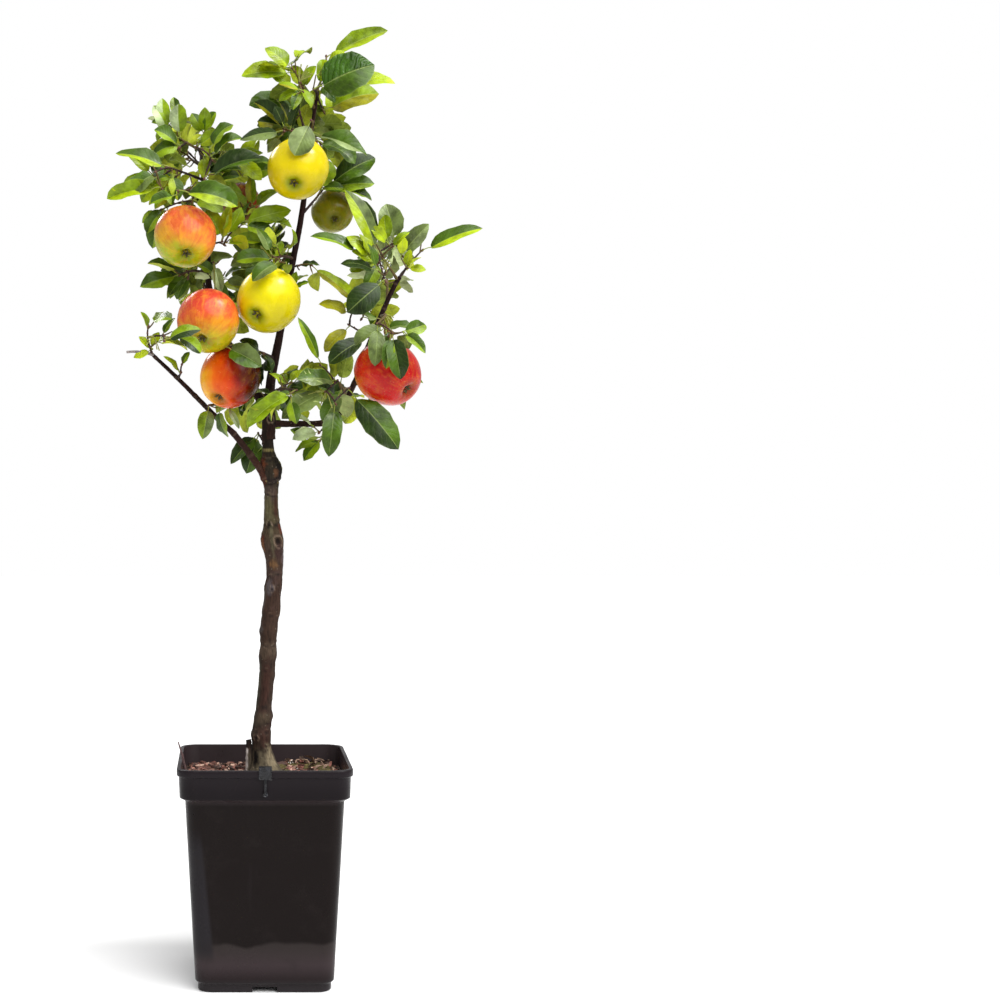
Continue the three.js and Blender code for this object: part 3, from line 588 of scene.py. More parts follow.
rim_band = fresh(bpy.ops.mesh.primitive_plane_add, "rim_band", size=1)
set_down(rim_band, (0, -clip["front"], clip["foot"]), (clip["width"], clip["thick"], 1))
edit_all()
pull_up(clip["spring"] - clip["foot"])
bend_at = (0, -(clip["front"] - clip["radius"]) * MM, clip["spring"] * MM)
bpy.ops.mesh.spin(steps=12, angle=-math.pi, center=bend_at, axis=(1, 0, 0))
pull_up(clip["inner_foot"] - clip["spring"])
bpy.ops.mesh.select_all(action="SELECT")
bpy.ops.mesh.remove_doubles(threshold=1e-6)
close_up()
tail = fresh(bpy.ops.mesh.primitive_cube_add, "tail", size=1)
tail_long = clip["foot"] + 1 - clip["tail_foot"]
set_down(tail, (0, -clip["front"], clip["tail_foot"] + tail_long / 2), (clip["tail"], clip["thick"], tail_long))
stud = fresh(bpy.ops.mesh.primitive_cylinder_add, "stud", vertices=24, radius=clip["stud"] * MM, depth=2 * MM)
choose(stud, "FACE", lambda face: face.normal.z > 0.9)
bpy.ops.mesh.inset(thickness=0.9 * MM, depth=0.0)
bpy.ops.mesh.inset(thickness=0.3 * MM, depth=-0.6 * MM)
take()
stud.data.transform(Matrix.Rotation(math.pi / 2, 4, "X"))
set_down(stud, (0, -clip["front"] - 0.45, clip["tail_foot"]))
for part in (rim_band, tail, stud):
    soften_edges(part, 0.28, 40)
take(rim_band, tail, stud)
bpy.ops.object.join()
smooth(rim_band, 35)

smoky_plastic, place = new_finish("smoky_clip_plastic", specular=0.5)
# dark smoky plastic, with long upright streaks of painted highlight
smoke_and_streak_highlights = ramp(mottled(stretched(place, 1.0, 0.12), 260.0, 0.5), (0.0, "0c0c10"), (1.0, "26272d"))
feed("Base Color", blend(mask(split(place)[2], 0.2185, 0.2165), smoke_and_streak_highlights, "77777d"))
gloss = grain(place, 300.0)
feed("Roughness", ramp(gloss, (0.3, 0.22), (0.7, 0.4)))
relief(gloss, 0.0001)
smoky_plastic.node_tree.nodes["Principled BSDF"].inputs["Alpha"].default_value = 0.7

rim_band.data.materials.append(smoky_plastic)
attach(rim_band, "root")
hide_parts("rim_clip")

# ---- Trunk ---------------------------------------------------------------------------
# One leaning stem, grafted low and cut back hard, that runs from the compost up through
# the crown into its leader. Old wounds have swollen into knots and healed with pale lips.

trunk = {
    "axis": [
        (-1, 0, 230.3), (-2, 0, 270), (4, 0, 341), (7, 0, 396), (13, 0, 461), (9, 0, 523), (9, 0, 563),
        (5, 2, 602), (8, 4, 665), (19, 4, 725), (31, 4, 793), (45, 4, 869), (55, 4, 956), (62, 4, 999),
    ],
    "taper": [
        (230, 10.2), (270, 10.6), (305, 9.0), (330, 8.4), (400, 9.4), (460, 9.2), (535, 7.8), (600, 6.3), (700, 5.0),
        (726, 4.2), (842, 3.4), (1000, 1.9),
    ],
    "knots": [
        (226, 6.5, 20, 0), (271, 1.8, 6, 185), (291, 2.0, 5, 0), (337, 1.3, 6, 10), (359, 1.4, 8, 185),
        (362, 1.2, 8, 0), (388, 2.3, 6, 180), (410, 2.0, 8, 0), (437, 1.4, 6, 180), (489, 5.6, 16, 180),
        (492, 1.6, 14, 0), (571, 5.8, 14, 0), (577, 3.4, 9, 160), (626, 3.4, 11, 30),
    ],
    # the swelling at the foot, the height it starts from and how fast it fades
    "flare": (6, 230, 8),
    # the lowest part is carried down to the compost, and the bark grows rough above it
    "sunk": 12, "sunk_over": 12, "bare_foot": 228, "rough_from": 215, "rough_over": 10,
}
# healed cuts: height, the side they face in degrees from +X, radius, depth
wounds = [(489, -68, 4.2, 3.0), (508, -112, 2.6, 1.6), (436, -100, 2.4, 0.8), (268, -122, 2.6, 1.4),
          (627, -70, 3.0, 1.2), (352, 120, 3.0, 1.4), (520, 95, 2.6, 1.0)]
# ring scars and creases that run round the trunk: height, depth, tilt
creases = [(555, 1.3, 0.25), (583, 0.8, -0.3), (541, 0.5, 0.2), (508, 0.7, -0.35), (300, 0.7, 0.3),
           (275, 0.5, -0.2), (372, 0.6, 0.25), (405, 0.5, -0.2), (343, 0.5, 0.2), (450, 0.5, 0.2),
           (612, 0.7, 0.3), (640, 0.6, -0.3)]
# coloured places in the bark: height, side, half height, half width, colour, strength; the near-black ones are painted
# shade at the fork and in hollows
bark_patches_and_shade = [
    (592, -95, 1.8, 14, "7c7148", 0.8), (577, -150, 8, 6, "5c2c16", 0.8), (570, -36, 17, 6, "110c0a", 0.9),
    (576, -6, 12, 2.4, "7e7c4c", 0.75), (566, -62, 5, 2.5, "62402a", 0.6), (557, -95, 3, 16, "231a1b", 0.7),
    (556, -150, 2, 3, "857245", 0.7), (556, -20, 2, 3, "857245", 0.6), (544, -100, 9, 8, "4a3b36", 0.7),
    (527, -125, 16, 5, "4f4b32", 0.7), (528, -48, 16, 2.6, "381c17", 0.8), (512, -90, 6, 9, "463f2b", 0.6),
    (508, -112, 4, 3.4, "120b09", 0.9), (507, -52, 3, 5, "170e0b", 0.8), (502, -30, 6, 4, "542419", 0.8),
    (492, -150, 5, 3, "481812", 0.8), (484, -156, 7, 3, "683e20", 0.75), (492, -100, 22, 2.4, "595440", 0.6),
    (478, -60, 10, 5, "34201f", 0.7), (470, -20, 9, 2.4, "5a4f53", 0.6), (463, -100, 5, 4.5, "62452a", 0.75),
    (449, -100, 8, 9, "3b2b28", 0.6), (437, -115, 7, 6, "554e50", 0.75), (421, -165, 16, 3.4, "48443f", 0.6),
    (408, -60, 10, 6, "38271f", 0.5), (390, -158, 5, 5, "4b4646", 0.7), (366, -95, 9, 14, "4d4034", 0.5),
    (350, -80, 7, 10, "31241d", 0.6), (326, -92, 26, 5, "3c211b", 0.55), (322, -165, 34, 3.6, "44453a", 0.6),
    (291, -78, 5, 12, "544738", 0.5), (283, -70, 2.4, 10, "261b17", 0.7), (270, -72, 10, 7, "402822", 0.55),
    (254, -95, 2.0, 16, "1e1512", 0.6), (243, -104, 12, 8, "4f4737", 0.7), (239, -42, 18, 6, "7d715a", 0.9),
    (245, -125, 9, 3.4, "0a0605", 1.0), (231, -60, 6, 20, "4c4434", 0.5),
]
# the cut stub beside the foot, dark at its top, with one bleached side
snag = {"at": (-16.6, -3), "radius": 3.8, "taper": 0.2, "foot": 219, "top": 266, "dark_from": 252, "bleached_to": 256}


class Smooth:
    """A curve through given points, each stretch eased by its neighbours."""

    def __init__(self, points):
        self.points = [Vector(p) for p in points]

    def at(self, t):
        points = self.points
        last = len(points) - 1
        place = last * t
        i = min(int(place), last - 1)
        w = place - i
        b, c = points[i], points[i + 1]
        a = points[i - 1] if i > 0 else b * 2 - c
        d = points[i + 2] if i + 2 <= last else c * 2 - b
        t0, t1 = (c - a) * 0.5, (d - b) * 0.5
        return b + t0 * w + (c * 3 - b * 3 - t0 * 2 - t1) * w ** 2 + (b * 2 - c * 2 + t0 + t1) * w ** 3


def heading(turn):
    return Vector((math.cos(turn), math.sin(turn), 0))


def swung(turn, side, radius):
    """How far round the trunk a turn is from a side given in degrees."""
    return math.remainder(turn - math.radians(side), 2 * math.pi) * radius


def trunk_radius(z, turn):
    swell, foot, fade = trunk["flare"]
    radius = between(trunk["taper"], z) + swell * math.exp(-(z - foot) / fade)
    for height, swell, spread, side in trunk["knots"]:
        share = 0.6 + 0.4 * math.cos(turn - math.radians(side))
        radius += swell * share * math.exp(-(((z - height) / spread) ** 2))
    return radius


def bark_relief(spot, radius):
    """Height of the bark at a place: long fissures, small plates and pimples."""
    fissure = noise.fractal(Vector((spot.x * 0.3, spot.y * 0.3, spot.z * 0.055)), 1.0, 2.1, 4)
    plates = noise.fractal(spot * 0.5, 0.9, 2.2, 3)
    return radius * (0.075 * fissure + 0.035 * plates)


def patch_and_shade_at(spot, height, turn, radius):
    """The coloured places, some of them painted shade, laid over each other at a spot: their colour and its strength.
    """
    shade, bare = np.zeros(3), 1.0
    for z, side, tall, wide, chip, force in bark_patches_and_shade:
        if abs(height - z) < tall * 2.2:
            rough = noise.fractal(spot * 0.32 + Vector((z, 0, 0)), 0.9, 2.1, 4)
            away = math.hypot((height - z) / tall, swung(turn, side, radius) / wide) + 0.5 * rough
            here = force * held((1.3 - away) / 0.6)
            shade = shade * (1 - here) + np.array(colour(chip)[:3]) * here
            bare *= 1 - here
    return (*(shade / max(1 - bare, 1e-6)), 1 - bare)


def rod(name, sides, cuts):
    """An upright bar cut twice over into rings, as points to be placed and faces that join them."""
    made = fresh(bpy.ops.mesh.primitive_cylinder_add, name, vertices=sides, radius=1, depth=1)

    def is_upright(edge):
        low, high = (made.data.vertices[v].co.z for v in edge.vertices)
        return abs(low - high) > 1e-5

    for _ in range(2):
        choose(made, "EDGE", is_upright)
        bpy.ops.mesh.subdivide(number_cuts=cuts)
        take()
    return made


def place_on_rod(vertex):
    """The turn of a rod's point and its share of the way up."""
    return math.atan2(vertex.co.y, vertex.co.x), held(vertex.co.z + 0.5)


trunk_curve = Smooth(trunk["axis"])
trunk_stem = rod("trunk_stem", 48, 15)
scars_and_shade, patches_and_shade = [], []
for vertex in trunk_stem.data.vertices:
    turn, t = place_on_rod(vertex)
    middle = trunk_curve.at(t)
    middle.z -= max(0.0, 1 - (middle.z - trunk["axis"][0][2]) / trunk["sunk_over"]) * trunk["sunk"]
    radius = trunk_radius(max(middle.z, trunk["bare_foot"]), turn)
    way = heading(turn)
    spot = middle + way * radius
    rise = bark_relief(spot, radius)
    scar = 0.0
    # a wound is sunk in its middle and has a rolled lip; the sunk middle is marked for painted shade, the lip for a
    # paler colour
    for height, side, size, depth in wounds:
        away = math.hypot(swung(turn, side, radius), (middle.z - height) * 0.8) / size
        rise += depth * (0.75 * math.exp(-(((away - 1.15) / 0.4) ** 2)) - math.exp(-((away / 0.75) ** 4)))
        scar += math.exp(-((away / 0.8) ** 4)) - 0.8 * math.exp(-(((away - 1.2) / 0.3) ** 2))
    # a crease is a groove with a raised edge above it; the groove is marked for painted shade, the edge for a paler
    # colour
    for height, depth, tilt in creases:
        line = height + radius * tilt * math.sin(turn * 2 + height)
        away = (middle.z - line) / 1.3
        rise += depth * (0.6 * math.exp(-((away - 1.7) ** 2)) - math.exp(-(away ** 2)))
        scar += 0.7 * math.exp(-(away ** 2)) - 0.35 * math.exp(-((away - 1.8) ** 2))
    scars_and_shade.append(held(scar, -1.0))
    patches_and_shade.append(patch_and_shade_at(spot, middle.z, turn, radius))
    vertex.co = (spot + way * rise * held((middle.z - trunk["rough_from"]) / trunk["rough_over"])) * MM
carry(trunk_stem, "scar", "FLOAT", scars_and_shade)
carry(trunk_stem, "patch", "FLOAT_COLOR", patches_and_shade)

snag_stem = rod("snag_stem", 14, 4)
scars_and_shade, patches_and_shade = [], []
for vertex in snag_stem.data.vertices:
    turn, t = place_on_rod(vertex)
    z = snag["foot"] + (snag["top"] - snag["foot"]) * t
    radius = snag["radius"] * (1 - snag["taper"] * t)
    radius += 0.7 * noise.noise(heading(turn) * 2 + Vector((0, 0, z * 0.4)))
    dark_top = held((z - snag["dark_from"] + 6 * noise.noise(Vector((turn, z * 0.3, 5)))) / 6)
    bare = 3 * math.cos(turn + 2.8) - 1.4 + noise.noise(Vector((turn * 2, z * 0.2, 9)))
    bare = held(bare) * (z < snag["bleached_to"])
    patches_and_shade.append((*colour("cdc4be" if bare > dark_top else "1e1714")[:3], 0.85 * max(dark_top, bare)))
    scars_and_shade.append(float(t > 0.99))
    if t > 0.99:
        z -= 2.2 * (0.5 + 0.5 * math.cos(turn - 2.2)) + 0.6 * noise.noise(Vector((turn, 3, 1)))
    vertex.co = (Vector((*snag["at"], z)) + heading(turn) * radius) * MM
carry(snag_stem, "scar", "FLOAT", scars_and_shade)
carry(snag_stem, "patch", "FLOAT_COLOR", patches_and_shade)
take(trunk_stem, snag_stem)
bpy.ops.object.join()
smooth(trunk_stem, 60)


def pores(place, scale, outer, inner, most):
    """Small round dots."""
    return mask(put("TexVoronoi", {"Vector": place, "Scale": scale}, "Distance"), outer, inner, most=most)


def paint_bark(name, stops, pale, speck, bloomed, patched_and_shaded=False):
    """Bark whose ground colour changes with height, with lichen bloom, pale pores, scars, and painted shade in grooves
    and hollows.
    """
    made, place = new_finish(name, 0.85, 0.16)
    tallest = 1100
    barked = ramp(mask(split(place)[2], 0.0, tallest * MM), *((z / tallest, chip) for z, chip in stops))
    # coloured places of the bark laid over it, painted shade among them
    if patched_and_shaded:
        barked = blend(read(place, "patch", "Alpha"), barked, read(place, "patch"))
    fibres = grain(stretched(place, 1.0, 0.25), 420.0, 6.0, 0.65)
    barked = blend(1.0, barked, ramp(fibres, (0.32, 0.45), (0.5, 0.95), (0.7, 1.3)), "MULTIPLY")
    barked = blend(times(mottled(place, 55.0, 0.46), bloomed), barked, pale)
    barked = blend(times(mottled(place, 30.0, 0.42), 0.3), barked, "4d3440")
    dots = pores(place, 150.0, 0.16, 0.08, 0.3)
    barked = blend(dots, barked, speck)
    # painted shade where the value is high, in sunk wounds and crease grooves, and the stub's own dark cut top; paler
    # where it is low, on healed lips, raised edges and ring scars
    scar = read(place, "scar", "Fac")
    barked = blend(mask(scar, 0.15, 0.8, most=0.9), barked, "1d1513")
    barked = blend(mask(scar, -0.12, -0.7, most=0.5), barked, "84705f")
    feed("Base Color", barked)
    relief(reckon("ADD", fibres, dots), 0.0011)
    return made


trunk_stem.data.materials.append(paint_bark("old_bark", [
    (225, "50483a"), (250, "463d31"), (256, "34271f"), (290, "33261f"), (360, "33251c"), (430, "37261e"),
    (480, "3c2e25"), (530, "463c28"), (556, "302820"), (580, "241f15"), (600, "1f1610"), (680, "1f0f0d"),
    (800, "1e0c0c"), (1000, "281511"),
], "5c5342", "857b6b", 0.25, patched_and_shaded=True))
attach(trunk_stem, "root")
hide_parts("trunk")

# ---- Boughs --------------------------------------------------------------------------
# Three limbs that leave the trunk through a collar of bark: a low one to the left, one that
# climbs on the left, and one that runs out to the right and turns up.

# the heel of each bough lies inside the trunk; its radius runs from the trunk to its tip
boughs = {
    "left_lower_bough": {
        "heel": (8, 0, 538), "radii": (4.1, 1.9),
        "axis": [(2, 0, 562), (-30, -14, 606), (-51, -24, 626), (-92, -38, 667), (-124, -48, 697)],
    },
    "left_upright_bough": {
        "heel": (7, 2, 604), "radii": (5, 1.9),
        "axis": [
            (4, 4, 632), (-21, 20, 683), (-47, 26, 729), (-61, 24, 777), (-63, 22, 807), (-66, 16, 876),
            (-70, 10, 928), (-66, 8, 952),
        ],
    },
    "right_bough": {
        "heel": (3, 2, 598), "radii": (3.8, 2.5),
        "axis": [
            (6, 4, 620), (30, 6, 622), (67, 10, 623), (85, 12, 632), (106, 16, 673), (120, 18, 711),
            (136, 18, 749), (149, 16, 778), (156, 14, 790),
        ],
    },
}
bough_curves = {name: Smooth(bough["axis"]) for name, bough in boughs.items()}
bough_cuts = 10
bough_rings = (bough_cuts + 1) ** 2
collar = {"swell": 0.35, "fade": 9}
# a ring scar stands where each season's growth began
season = {"length": 31, "swell": 0.14, "sharpness": 14, "scar": -0.35}


def stations(curve, count):
    """Evenly spaced places along a curve, both of its ends among them."""
    return [curve.at(i / count) for i in range(count + 1)]


def bough_radius(name, t):
    start, end = boughs[name]["radii"]
    return start + (end - start) * t


young_bark = paint_bark("young_bark", [
    (560, "40241a"), (585, "2f1c14"), (620, "251410"), (700, "1f0f0d"), (800, "1e0c0c"), (1000, "281511"),
], "52473e", "857464", 0.2)
for name, bough in boughs.items():
    limb = rod(name + "_limb", 20, bough_cuts)
    spans = len(bough["axis"])
    frames = carried(stations(Smooth([bough["heel"]] + bough["axis"]), bough_rings))
    reach = np.cumsum([0.0] + [(a[0] - b[0]).length for a, b in zip(frames, frames[1:])])
    reach = reach - reach[round(bough_rings / spans)]
    scars_and_shade = []
    for vertex in limb.data.vertices:
        turn, t = place_on_rod(vertex)
        middle, across, other = frames[round(t * bough_rings)]
        along = float(reach[round(t * bough_rings)])
        ring = max(0.0, math.cos(2 * math.pi * along / season["length"])) ** season["sharpness"]
        radius = bough_radius(name, max(0.0, (t * spans - 1) / (spans - 1)))
        radius *= 1 + collar["swell"] * math.exp(-max(along, 0.0) / collar["fade"])
        radius *= 1 + season["swell"] * ring
        way = across * math.cos(turn) + other * math.sin(turn)
        spot = middle + way * radius
        scars_and_shade.append(season["scar"] * ring)
        vertex.co = (spot + way * bark_relief(spot * 1.4, radius)) * MM
    carry(limb, "scar", "FLOAT", scars_and_shade)
    smooth(limb, 60)
    limb.data.materials.append(young_bark)
    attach(limb, "root")
    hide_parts(name)

# ---- Growth of the crown ---------------------------------------------------------------
# Every spray starts from one short stem on its limb. Each next twig leaves the nearest point
# of what has grown, and ends in a fan of leaves, some hanging their fruit below.


def spray(at, start, end, count, length, breadth=1.0, tint="mid", rolled=1.0):
    """A twig's end, its fan of leaves in degrees from +X towards +Z, their colour and how far they roll; a tint after
    a + is painted shading on the higher half of each leaf.
    """
    return {"at": at, "from": start, "to": end, "count": count, "length": length, "breadth": breadth,
            "tint": tint, "rolled": rolled}


def leaf(at, angle, length, breadth=1.0, tint="mid", rolled=1.0):
    return spray(at, angle, angle, 1, length, breadth, tint, rolled)


def fruit(at, radius, eye):
    return {"at": Vector(at), "radius": radius, "eye": Vector(eye).normalized()}


def mass(limb, foot, seed, sprays, hangs=None):
    return {"limb": limb, "foot": foot, "seed": seed, "sprays": sprays, "fruit": hangs}


leader, upright, low_left, right = "trunk", "left_upright_bough", "left_lower_bough", "right_bough"
masses = {
    "top_right_foliage": mass(leader, 997, 11, [
        leaf((55, -34, 992), 20, 75, 1.35, "dark+quilted", 0.1), leaf((72, 16, 1041), 22, 75, 0.65, "fresh+mid", 0.4),
        leaf((84, 30, 1012), 2, 67, 0.85, "fresh"), leaf((69, 12, 978), 14, 64, 1.3, "olive"),
        leaf((64, -6, 1003), 85, 34, 1.3, "fresh"),
    ]),
    "top_left_foliage": mass(leader, 979, 12, [
        leaf((35, -26, 1013), 184, 58, 0.9, "mid+fresh", 0.4), spray((31, -36, 1015), 142, 172, 2, 42, 1.2, "fresh"),
        spray((44, -14, 999), 62, 118, 2, 31, 1.1, "lime"), spray((43, -38, 989), 165, 292, 4, 30, 1, "olive"),
    ]),
    "shoulder_foliage": mass(leader, 954, 13, [
        leaf((25, -6, 952), 140, 52, 0.9, "olive+deep", 0.4), leaf((41, 20, 985), 181, 64, 1, "dark"),
        leaf((22, -38, 945), 192, 51, 1, "slate+deep", 0.4), leaf((30, -30, 947), 72, 31, 1, "deep"),
    ]),
    "upper_yellow_apple": mass(leader, 945, 14, [
        leaf((50, -80, 948), 246, 44, 1.25, "slate+grey", 0.2), leaf((53, -36, 943), -24, 66, 1, "grey+dark", 0.4),
        leaf((59, -10, 940), -34, 52, 1, "dark"),
    ], fruit((37, -48, 901), 34, (-0.18, -0.74, -0.65))),
    "green_apple": mass(leader, 859, 15, [
        spray((72, 20, 895), 26, -12, 3, 62),
    ], fruit((81, 42, 869), 25, (0.05, -0.84, -0.55))),
    "left_crown_upper": mass(upright, 932, 16, [
        leaf((-109, 30, 959), 120, 37, 1.1, "pale+mid", 0.4), spray((-98, 36, 972), 95, 155, 2, 30),
        spray((-95, 16, 938), 150, 200, 2, 36, 1.1, "fresh"),
    ]),
    "left_crown_lower": mass(upright, 900, 17, [
        leaf((-104, -46, 903), 166, 62, 0.8, "fresh+dark", 0.4),
        leaf((-119, -60, 896), 222, 42, 1.1, "slate+dark", 0.4),
        leaf((-113, -52, 879), 198, 62, 0.75, "fresh+mid"), spray((-116, -30, 893), 190, 230, 2, 40, 1, "fresh"),
        spray((-97, -26, 883), 225, 262, 2, 38, 1, "olive"),
    ]),
    "left_crown_top": mass(upright, 948, 18, [
        spray((-67, 2, 951), 62, 118, 3, 31, 1.1, "mid"),
    ]),
    "left_crown_inner": mass(upright, 920, 19, [
        leaf((-76, -24, 930), 32, 36, 1, "fresh"), spray((-58, -36, 914), -8, 28, 2, 44),
        leaf((-47, -14, 905), 20, 52, 1, "fresh"), spray((-29, 10, 912), 10, 50, 2, 41, 1, "fresh"),
        leaf((-15, 14, 913), 73, 46, 1.1, "lime"), leaf((-66, -40, 893), 16, 64, 1, "dark"),
    ]),
    "upper_blush_apple": mass(upright, 879, 20, [
        leaf((-94, -78, 872), -17, 66, 1, "fresh+dark", 0.4), spray((-80, -30, 869), -22, -40, 2, 38),
        spray((-114, -16, 862), 255, 235, 2, 43, 1.1, "olive"),
    ], fruit((-87, -60, 824), 34, (0.05, -0.71, -0.7))),
    "centre_left_foliage": mass(upright, 820, 21, [
        leaf((-47, -34, 823), 70, 44, 0.8, "fresh"), leaf((-45, -26, 821), 4, 47, 0.9, "fresh+mid", 0.4),
        spray((-24, -26, 847), -6, 14, 2, 60, 0.8, "mid"), spray((-11, 4, 868), 30, 150, 3, 36, 1, "olive"),
    ], fruit((-26, 26, 876), 23, (0.0, -0.8, -0.6))),
    "centre_left_spur": mass(leader, 809, 22, [
        leaf((13, -44, 802), 183, 46, 1, "mid+dark", 0.4), leaf((16, -80, 795), 222, 39, 1.1, "slate", 0.4),
        spray((23, -10, 807), 138, 160, 2, 38, 1, "fresh"), spray((-2, -16, 801), 150, 222, 3, 38, 1.1, "slate"),
    ]),
    "centre_right_spur": mass(leader, 798, 23, [
        leaf((39, -14, 799), 0, 25, 1, "dark"), leaf((52, -20, 799), -40, 62, 0.55, "olive+fresh", 0.4),
    ]),
    "lower_yellow_apple": mass(leader, 773, 24, [
        spray((34, -18, 774), 20, 80, 2, 20),
    ], fruit((4, -54, 755), 35, (-0.43, -0.72, -0.55))),
    "middle_blush_apple": mass(upright, 761, 25, [
        leaf((-56, -20, 801), 288, 34, 1, "pale"), spray((-47, 4, 786), 20, 280, 3, 32, 1, "dark"),
    ], fruit((-62, -76, 730), 34, (-0.21, -0.7, -0.68))),
    "left_side_spur": mass(upright, 795, 26, [
        leaf((-94, -24, 787), 197, 45, 1.05, "mid+dark", 0.4), spray((-85, -6, 787), 170, 230, 3, 36, 1, "dark"),
    ]),
    "lower_blush_apple": mass(leader, 696, 27, [
        leaf((-44, -74, 703), -36, 54, 1.15, "dark+slate", 0.3), spray((-2, -28, 700), 150, 300, 3, 30, 1, "deep"),
    ], fruit((-38, -48, 671), 33.5, (-0.42, -0.5, -0.76))),
    "left_tip_foliage": mass(low_left, 698, 28, [
        spray((-126, -52, 704), 60, 200, 3, 20, 1, "lime"), leaf((-128, -56, 725), 112, 20, 1, "fresh"),
        leaf((-112, -60, 716), 50, 24), leaf((-108, -114, 706), 16, 40, 0.8, "deep+mid", 0.4),
    ]),
    "left_bough_upper_spur": mass(low_left, 671, 29, [
        leaf((-92, -50, 676), 138, 26, 1, "fresh"), leaf((-91, -56, 684), 60, 20),
    ]),
    "left_bough_lower_spur": mass(low_left, 639, 30, [
        leaf((-61, -42, 641), 260, 42, 0.9, "slate+mid", 0.3), leaf((-40, -36, 641), 298, 31, 0.6, "pale"),
    ]),
    "fork_foliage": mass(leader, 596, 31, [
        spray((-5, 34, 612), 225, 255, 2, 48, 1, "deep"),
    ]),
    "front_foliage": mass(leader, 657, 32, [
        leaf((34, -72, 656), 218, 76, 0.7, "mid", 0.4), spray((29, -16, 667), 35, 150, 2, 25, 1, "fresh"),
    ]),
    "lower_right_foliage": mass(right, 650, 33, [
        leaf((83, -24, 669), 188, 60, 0.9, "slate+dark", 0.4), leaf((69, -36, 657), 212, 62, 0.9, "slate", 0.4),
        leaf((78, -56, 642), 262, 61, 0.9, "dark", 0.3), leaf((92, -60, 658), -50, 88, 0.74, "deep+dark", 0.2),
        leaf((64, -24, 686), 118, 60, 0.42, "mid"),
    ]),
    "low_right_spur": mass(right, 625, 34, [
        leaf((63, -14, 612), 198, 34, 1, "pale"), spray((65, 10, 603), 205, 230, 2, 32, 1, "dark"),
    ]),
    "crimson_apple": mass(right, 745, 35, [
        leaf((122, -80, 728), 266, 54, 0.75, "slate", 0.3), leaf((136, -98, 716), 280, 56, 1.1, "dark", 0.3),
        leaf((134, -96, 714), 262, 40, 0.8, "mid+dark", 0.4),
    ], fruit((136, -56, 675), 36, (0.58, -0.56, -0.58))),
    "right_inner_foliage": mass(right, 722, 36, [
        leaf((115, -36, 717), 214, 55, 1, "deep", 0.4), leaf((96, -24, 731), 228, 42, 0.8, "olive"),
        leaf((99, -20, 745), 165, 40, 1, "olive"),
    ]),
    "right_top_foliage": mass(right, 786, 37, [
        leaf((130, -16, 810), 118, 84, 0.5, "fresh+slate", 0.4), leaf((133, 8, 818), 118, 68, 0.8, "dark"),
        leaf((109, -26, 812), 165, 68, 0.7, "mid+dark", 0.4), leaf((151, 10, 829), 104, 49, 1.3, "grey+slate", 0.3),
        leaf((145, -6, 821), 38, 29, 1, "fresh"), leaf((159, 20, 815), 45, 48, 1, "grey"),
        leaf((135, -34, 780), 222, 58, 1.1, "deep", 0.2), spray((128, -22, 801), 160, 240, 3, 34, 1, "fresh"),
    ]),
    "right_tip_foliage": mass(right, 789, 38, [
        leaf((182, 26, 821), 20, 80, 0.6, "fresh+dark", 0.6), spray((164, 8, 799), -10, 80, 3, 23, 1, "lime"),
    ]),
    "back_top_foliage": mass(leader, 932, 39, [
        spray((42, 76, 978), 60, 200, 6, 49), spray((69, 90, 958), -45, 25, 6, 50),
    ]),
    "back_left_foliage": mass(upright, 915, 40, [
        spray((-88, 100, 950), 95, 225, 6, 50), spray((-54, 122, 913), -40, 80, 6, 51),
    ]),
    "back_left_low_foliage": mass(upright, 750, 41, [
        spray((-78, 98, 810), 120, 245, 6, 50, 1, "dark"), spray((-49, 112, 747), 150, 330, 6, 46),
    ]),
    "back_centre_foliage": mass(leader, 761, 42, [
        spray((10, 108, 832), 60, 215, 6, 50), spray((1, 128, 775), 160, 320, 6, 51, 1, "dark"),
    ]),
    "back_right_foliage": mass(right, 761, 43, [
        spray((146, 98, 817), 50, 185, 4, 50, 1, "grey"), spray((120, 104, 752), -20, 110, 5, 46),
    ]),
    "back_low_foliage": mass(leader, 648, 44, [
        spray((-14, 92, 662), 140, 260, 6, 50, 1, "dark"), spray((52, 104, 663), -50, 60, 6, 50),
    ]),
    "back_right_low_foliage": mass(right, 652, 45, [
        spray((105, 90, 666), 185, 262, 4, 50), spray((147, 108, 687), -60, 80, 4, 50, 1, "dark"),
    ]),
}

growth = {
    "stem": 2.4, "tip": 1.6, "bow": 0.14, "behind": 0.5, "behind_size": 0.9, "back_of_crown": 40, "tries": 6,
    "stalk": 0.16, "width": 0.57, "droop": 0.6, "limb_room": 2.4, "fruit_room": 2.0, "twig_room": 2.0,
    "leaf_room": 5.0, "crowding": 2.4, "spacing": 3, "gap": 0.3, "leaf_margin": 6, "shoot_margin": 3,
    "spots": 8,
}
play = {"swing": 14, "depth": 50, "roll": 90, "lean": 6, "behind": 30, "behind_more": 35}
# leaves behind the trunk point and face more ways
back_play = {"depth": 120, "sideways": 0.3, "more_sideways": 1.0}
upper_face = {"ahead": 0.8, "behind": -0.3, "up": 0.58}
# places on a blade that are kept clear: how far along it, how far across
blade_spots = [(0.15, 0), (0.4, 0), (0.65, 0), (0.95, 0), (0.36, -0.9), (0.36, 0.9), (0.72, -0.9), (0.72, 0.9)]


